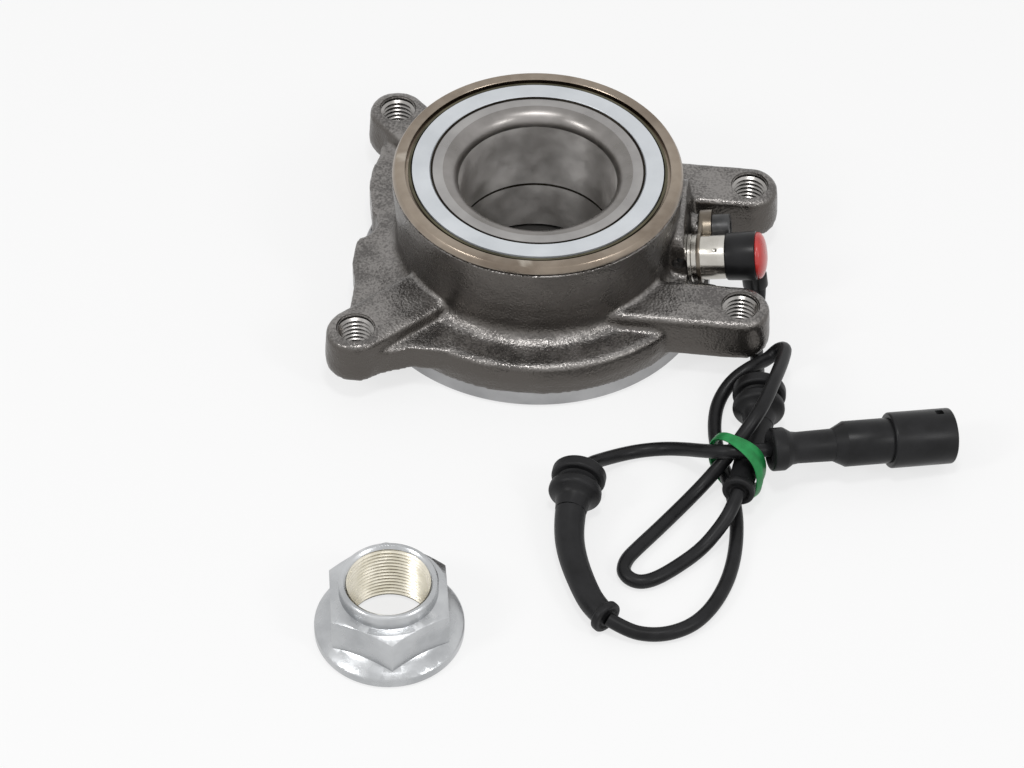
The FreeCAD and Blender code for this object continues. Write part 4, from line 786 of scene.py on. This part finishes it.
def makeInnerRings(values):
    bore, lead, top, split = values["bore"], values["lead"], values["top"], values["split"]
    groove, shoulder, face = values["groove"], values["shoulder"], values["faceInner"]
    upper = [(bore + 0.4, split + 0.06), (groove, split + 0.06), (groove, 35), (shoulder, 44.6)]
    upper += [(shoulder, top - 0.4), (shoulder - 0.4, top)]
    upper += [(bore + lead + 0.3, top)] + arcPoints((bore + lead, top - lead), lead, 90, 180, 14)
    upper += [(bore, split + 0.46)]
    foot = values["foot"]
    lower = [(bore + 0.5, foot), (shoulder - 0.4, foot), (shoulder, foot + 0.4), (shoulder, 6.2)]
    lower += [(groove, 15.5), (groove, split - 0.06), (bore + 0.4, split - 0.06), (bore, split - 0.46)]
    lower += [(bore, foot + 0.5)]
    finishPiece(lathe("inner_ring_upper_body", upper, 160), "hub_race", materials["ringSteel"],
                ["inner_ring_upper"])
    finishPiece(lathe("inner_ring_lower_body", lower, 160), "hub_race", materials["boreSteel"],
                ["inner_ring_lower"])
    # a near black ring in the joint between flinger and inner ring: a painted shadow line
    gap = [(shoulder - 0.35, top - 0.3), (shoulder + 0.35, top - 0.3), (shoulder + 0.35, top + 0.43),
           (shoulder + 0.02, top + 0.43), (shoulder - 0.35, top + 0.03)]
    land = [(face, top - 0.25), (shoulder - 0.36, top - 0.25), (shoulder - 0.36, top + 0.02),
            (face, top + 0.02)]
    finishPiece(lathe("inner_ring_face", land, 160), "hub_race", materials["faceSteel"])
    finishPiece(lathe("flinger_seam_shadow", gap, 160), "hub_race", materials["splitShadow"])
    wall = [(bore - 0.02, split + 0.5), (bore + 0.7, split + 0.5), (bore + 0.7, top - lead),
            (bore - 0.02, top - lead)]
    finishPiece(lathe("inner_ring_bore", wall, 160), "hub_race", materials["boreSteel"])
    # a near black ring over the split between the inner rings and its chamfers: a painted shadow
    seamShadow = [(bore - 0.01, split - 0.5), (bore + 0.5, split - 0.5), (bore + 0.5, split + 0.5),
            (bore - 0.01, split + 0.5)]
    finishPiece(lathe("inner_ring_split_shadow", seamShadow, 160), "hub_race", materials["splitShadow"])


makeInnerRings(bearingSet)


# node finishes: construction nodes whose shape is right keep it

nodeFinishes = {
    "balls_upper": "innerSteel", "balls_lower": "innerSteel", "cage_upper": "cagePlastic",
    "cage_lower": "cagePlastic", "tone_ring": "innerSteel", "flinger_upper": "flingerSheet",
    "flinger_lower": "flingerSheet", "seal_carrier_upper": "carrierSheetShade",
    "seal_carrier_lower": "carrierSheetShade", "seal_lip_upper": "sealRubber", "seal_lip_lower": "sealRubber",
    "sensor_probe": "mouldedBlack", "sensor_o_ring": "sealRubber", "connector_insert": "mouldedBlack",
    "connector_pins": "pinMetal"}
for name, finish in nodeFinishes.items():
    node = nodes[name]
    node.data.materials.clear()
    node.data.materials.append(materials[finish])
print("nodes finished")


# speed sensor, built along its own axis

sensorSet = dict(base=(52.5, -4.5, 20.6), tilt=9.5, probe=5.7, sleeve=7.5, sleeveLength=12.6,
                 foot=8.3, shoulder=7.9, moulding=8.0, flare=0.35, mouldingLength=10.2, cap=7.9,
                 capHeight=3.6, exitRadius=3.0, exitReach=14.0, exitPlace=22.4, seat=3.2, lug=4.0,
                 screwSide=14.0, head=4.9, headHeight=6.0, socket=2.9, socketDepth=3.0, shank=2.9,
                 dimple=(-7.2, -3.9, 9.3), dimpleRadius=1.1)


def makeSensorPieces(values):
    place = Matrix.Translation(Vector(values["base"]) * mm) @ Matrix.Rotation(
        math.radians(90 - values["tilt"]), 4, "Y")
    probe, radius, end = values["probe"], values["sleeve"], values["sleeveLength"]
    foot, shoulder, seat = values["foot"], values["shoulder"], values["seat"]
    profile = [(probe, 0), (foot - 0.2, 0), (foot, 0.2), (foot, 1.1), (foot - 0.3, 1.4), (shoulder, 1.45)]
    profile += [(shoulder, seat - 0.2), (shoulder - 0.2, seat), (radius + 0.05, seat + 0.1)]
    profile += [(radius, seat + 0.3), (radius, end - 0.5), (radius - 0.15, end - 0.1), (radius - 0.4, end)]
    profile += [(probe, end)]
    sleeve = lathe("sensor_sleeve_body", profile, 128)
    deselectAll()
    bpy.ops.mesh.primitive_uv_sphere_add(segments=24, ring_count=12, radius=values["dimpleRadius"] * mm,
                                         location=[value * mm for value in values["dimple"]])
    cut(sleeve, bpy.context.object)
    applyPlace(sleeve, place)
    smoothShade(sleeve, 25)
    finishPiece(sleeve, "housing", materials["nickel"], ["sensor_sleeve"])
    low = end + 0.02
    high = end + values["mouldingLength"]
    narrow = values["moulding"]
    wide = narrow + values["flare"]
    profile = [(0, low), (narrow - 0.5, low), (narrow - 0.1, low + 0.35), (narrow, low + 0.8)]
    profile += [(wide, high - 0.5), (wide - 0.1, high - 0.15), (wide - 0.35, high), (0, high)]
    moulding = lathe("sensor_moulding_body", profile, 128)
    for start, along in ((0, high - values["exitRadius"]), (values["cap"] + 0.3, values["exitPlace"])):
        spout = cylinder("spout", values["exitRadius"], start, values["exitReach"], vertices=48)
        applyModifier(spout, "BEVEL", "edges", width=0.5 * mm, segments=3, limit_method="ANGLE")
        applyPlace(spout, Matrix.Translation((0, 0, along * mm)) @ Matrix.Rotation(math.radians(90), 4, "Y"))
        cut(moulding, spout, "UNION")
    applyPlace(moulding, place)
    smoothShade(moulding, 35)
    finishPiece(moulding, "housing", materials["mouldedBlack"], ["sensor_moulding"])
    edge, step = values["cap"], 0.8
    dome = values["capHeight"] - step
    profile = [(0, high + 0.02), (edge - 0.15, high + 0.02), (edge, high + 0.2)]
    for angle in range(0, 90, 9):
        turn = math.radians(angle)
        profile.append((edge * math.cos(turn), high + step + dome * math.sin(turn)))
    profile.append((0, high + step + dome))
    cap = lathe("sensor_cap_body", profile, 128, place, 50)
    finishPiece(cap, "housing", materials["capRed"], ["sensor_cap"])
    bracket = copyNode("sensor_bracket", "sensor_bracket_body")
    applyModifier(bracket, "BEVEL", "edges", width=0.3 * mm, segments=3, limit_method="ANGLE",
                  angle_limit=math.radians(40), use_clamp_overlap=True)
    smoothShade(bracket, 35)
    finishPiece(bracket, "housing", materials["bracketSteel"], ["sensor_bracket"])
    under = seat + values["lug"] + 0.02
    top = under + values["headHeight"]
    shank, head, tip = values["shank"], values["head"], -values["headHeight"]
    profile = [(0, tip), (shank, tip), (shank, under), (head - 0.15, under), (head, under + 0.15)]
    profile += [(head, top - 0.6), (head - 0.18, top - 0.18), (head - 0.6, top), (0, top)]
    screw = lathe("sensor_screw_body", profile, 96)
    cut(screw, cylinder("socket", values["socket"], top - values["socketDepth"], top + 1, vertices=6))
    applyPlace(screw, place @ Matrix.Translation((0, values["screwSide"] * mm, 0)))
    smoothShade(screw, 35)
    finishPiece(screw, "housing", materials["screwSteel"], ["sensor_screw"])


makeSensorPieces(sensorSet)
print("sensor made")


# hub nut: a copy of its solid with a bore cut for the thread ridges

nutSet = dict(place=(-29.8, -158.4), minor=12.75, major=13.5, pitch=1.5, top=23.6, edge=0.35)


def makeNut(values):
    body = copyNode("hub_nut", "hub_nut_body")
    cut(body, cylinder("bore", values["major"] + 0.1, 0.9, values["top"] - 0.9, values["place"], 96))
    applyModifier(body, "BEVEL", "edges", width=values["edge"] * mm, segments=2, limit_method="ANGLE",
                  angle_limit=math.radians(28), use_clamp_overlap=True)
    smoothShade(body, 35)
    finishPiece(body, "axle_nut", materials["zincPlate"], ["hub_nut"])
    thread = makeThread("hub_nut_thread", values["place"], values["minor"], values["major"], 1.0,
                        values["top"] - 1.0, values["pitch"], 96)
    finishPiece(thread, "axle_nut", materials["threadZinc"])


makeNut(nutSet)
print("hub nut made")


# floor, light and the view's white background

# inside is a painted shadow: the floor colour within the shade radius, seen through the bore
lightSet = dict(horizon=0.35, zenith=0.72, floor=(0.8, 0.8, 0.8), inside=(0.04, 0.038, 0.036), shade=0.043,
                glow=0.72)
lampSets = [
    dict(name="top", place=(0.05, -0.3, 1.1), size=(0.16, 0.16), power=3.2),
    dict(name="left", place=(-0.75, -0.6, 0.8), size=(0.16, 0.3), power=2.8),
    dict(name="right", place=(0.8, -0.55, 0.8), size=(0.16, 0.3), power=2.0)]


def backgroundFactor(tree):
    # 1 where the camera, a mirror or a clear piece sees the backdrop
    path = addNode(tree, "ShaderNodeLightPath")
    seen = mathNode(tree, "MAXIMUM", path.outputs["Is Camera Ray"], path.outputs["Is Transmission Ray"])
    return mathNode(tree, "MAXIMUM", seen, path.outputs["Is Glossy Ray"])


def makeWorld(values):
    world = bpy.data.worlds.new("studio")
    bpy.context.scene.world = world
    world.use_nodes = True
    tree = world.node_tree
    background = tree.nodes["Background"]
    background.inputs["Color"].default_value = (1, 1, 1, 1)
    coords = addNode(tree, "ShaderNodeTexCoord")
    apart = addNode(tree, "ShaderNodeSeparateXYZ", {"Vector": coords.outputs["Generated"]})
    sky = addNode(tree, "ShaderNodeMapRange", {"Value": apart.outputs["Z"]})
    sky.inputs["To Min"].default_value = values["horizon"]
    sky.inputs["To Max"].default_value = values["zenith"]
    strength = addNode(tree, "ShaderNodeMapRange", {
        "Value": backgroundFactor(tree), "To Min": sky.outputs["Result"]})
    strength.inputs["To Max"].default_value = 1.0
    tree.links.new(strength.outputs["Result"], background.inputs["Strength"])


def makeFloor(values):
    deselectAll()
    bpy.ops.mesh.primitive_plane_add(size=8, location=(0, 0, -0.0003))
    floor = bpy.context.object
    floor.name = "floor"
    material = bpy.data.materials.new("floor")
    material.use_nodes = True
    tree = material.node_tree
    shader = tree.nodes["Principled BSDF"]
    shader.inputs["Roughness"].default_value = 0.9
    glow = addNode(tree, "ShaderNodeEmission")
    glow.inputs["Strength"].default_value = 1.0
    coords = addNode(tree, "ShaderNodeTexCoord")
    # within the shade radius the floor takes the dark inside colour and no glow: a painted shadow under the
    # bore
    reach = addNode(tree, "ShaderNodeVectorMath", {0: coords.outputs["Object"]}, operation="LENGTH")
    outside = mathNode(tree, "GREATER_THAN", reach.outputs["Value"], values["shade"])
    colour = blendColor(tree, outside, values["inside"], values["floor"])
    tree.links.new(colour, shader.inputs["Base Color"])
    seen = mathNode(tree, "MULTIPLY", backgroundFactor(tree), outside)
    factor = mathNode(tree, "MULTIPLY", seen, values["glow"])
    mix = addNode(tree, "ShaderNodeMixShader")
    tree.links.new(factor, mix.inputs["Fac"])
    tree.links.new(shader.outputs["BSDF"], mix.inputs[1])
    tree.links.new(glow.outputs["Emission"], mix.inputs[2])
    tree.links.new(mix.outputs["Shader"], tree.nodes["Material Output"].inputs["Surface"])
    floor.data.materials.append(material)


def makeLamp(values):
    # a lamp that faces the origin
    lamp = bpy.data.lights.new(values["name"], "AREA")
    lamp.shape = "RECTANGLE"
    lamp.size, lamp.size_y = values["size"]
    lamp.energy = values["power"]
    holder = bpy.data.objects.new(values["name"], lamp)
    turn = (-Vector(values["place"])).to_track_quat("-Z", "Y").to_matrix().to_4x4()
    holder.matrix_world = Matrix.Translation(values["place"]) @ turn
    bpy.context.scene.collection.objects.link(holder)


makeWorld(lightSet)
makeFloor(lightSet)
for lampSet in lampSets:
    makeLamp(lampSet)
bpy.context.scene.view_settings.view_transform = "Standard"
print("floor and lamps set")
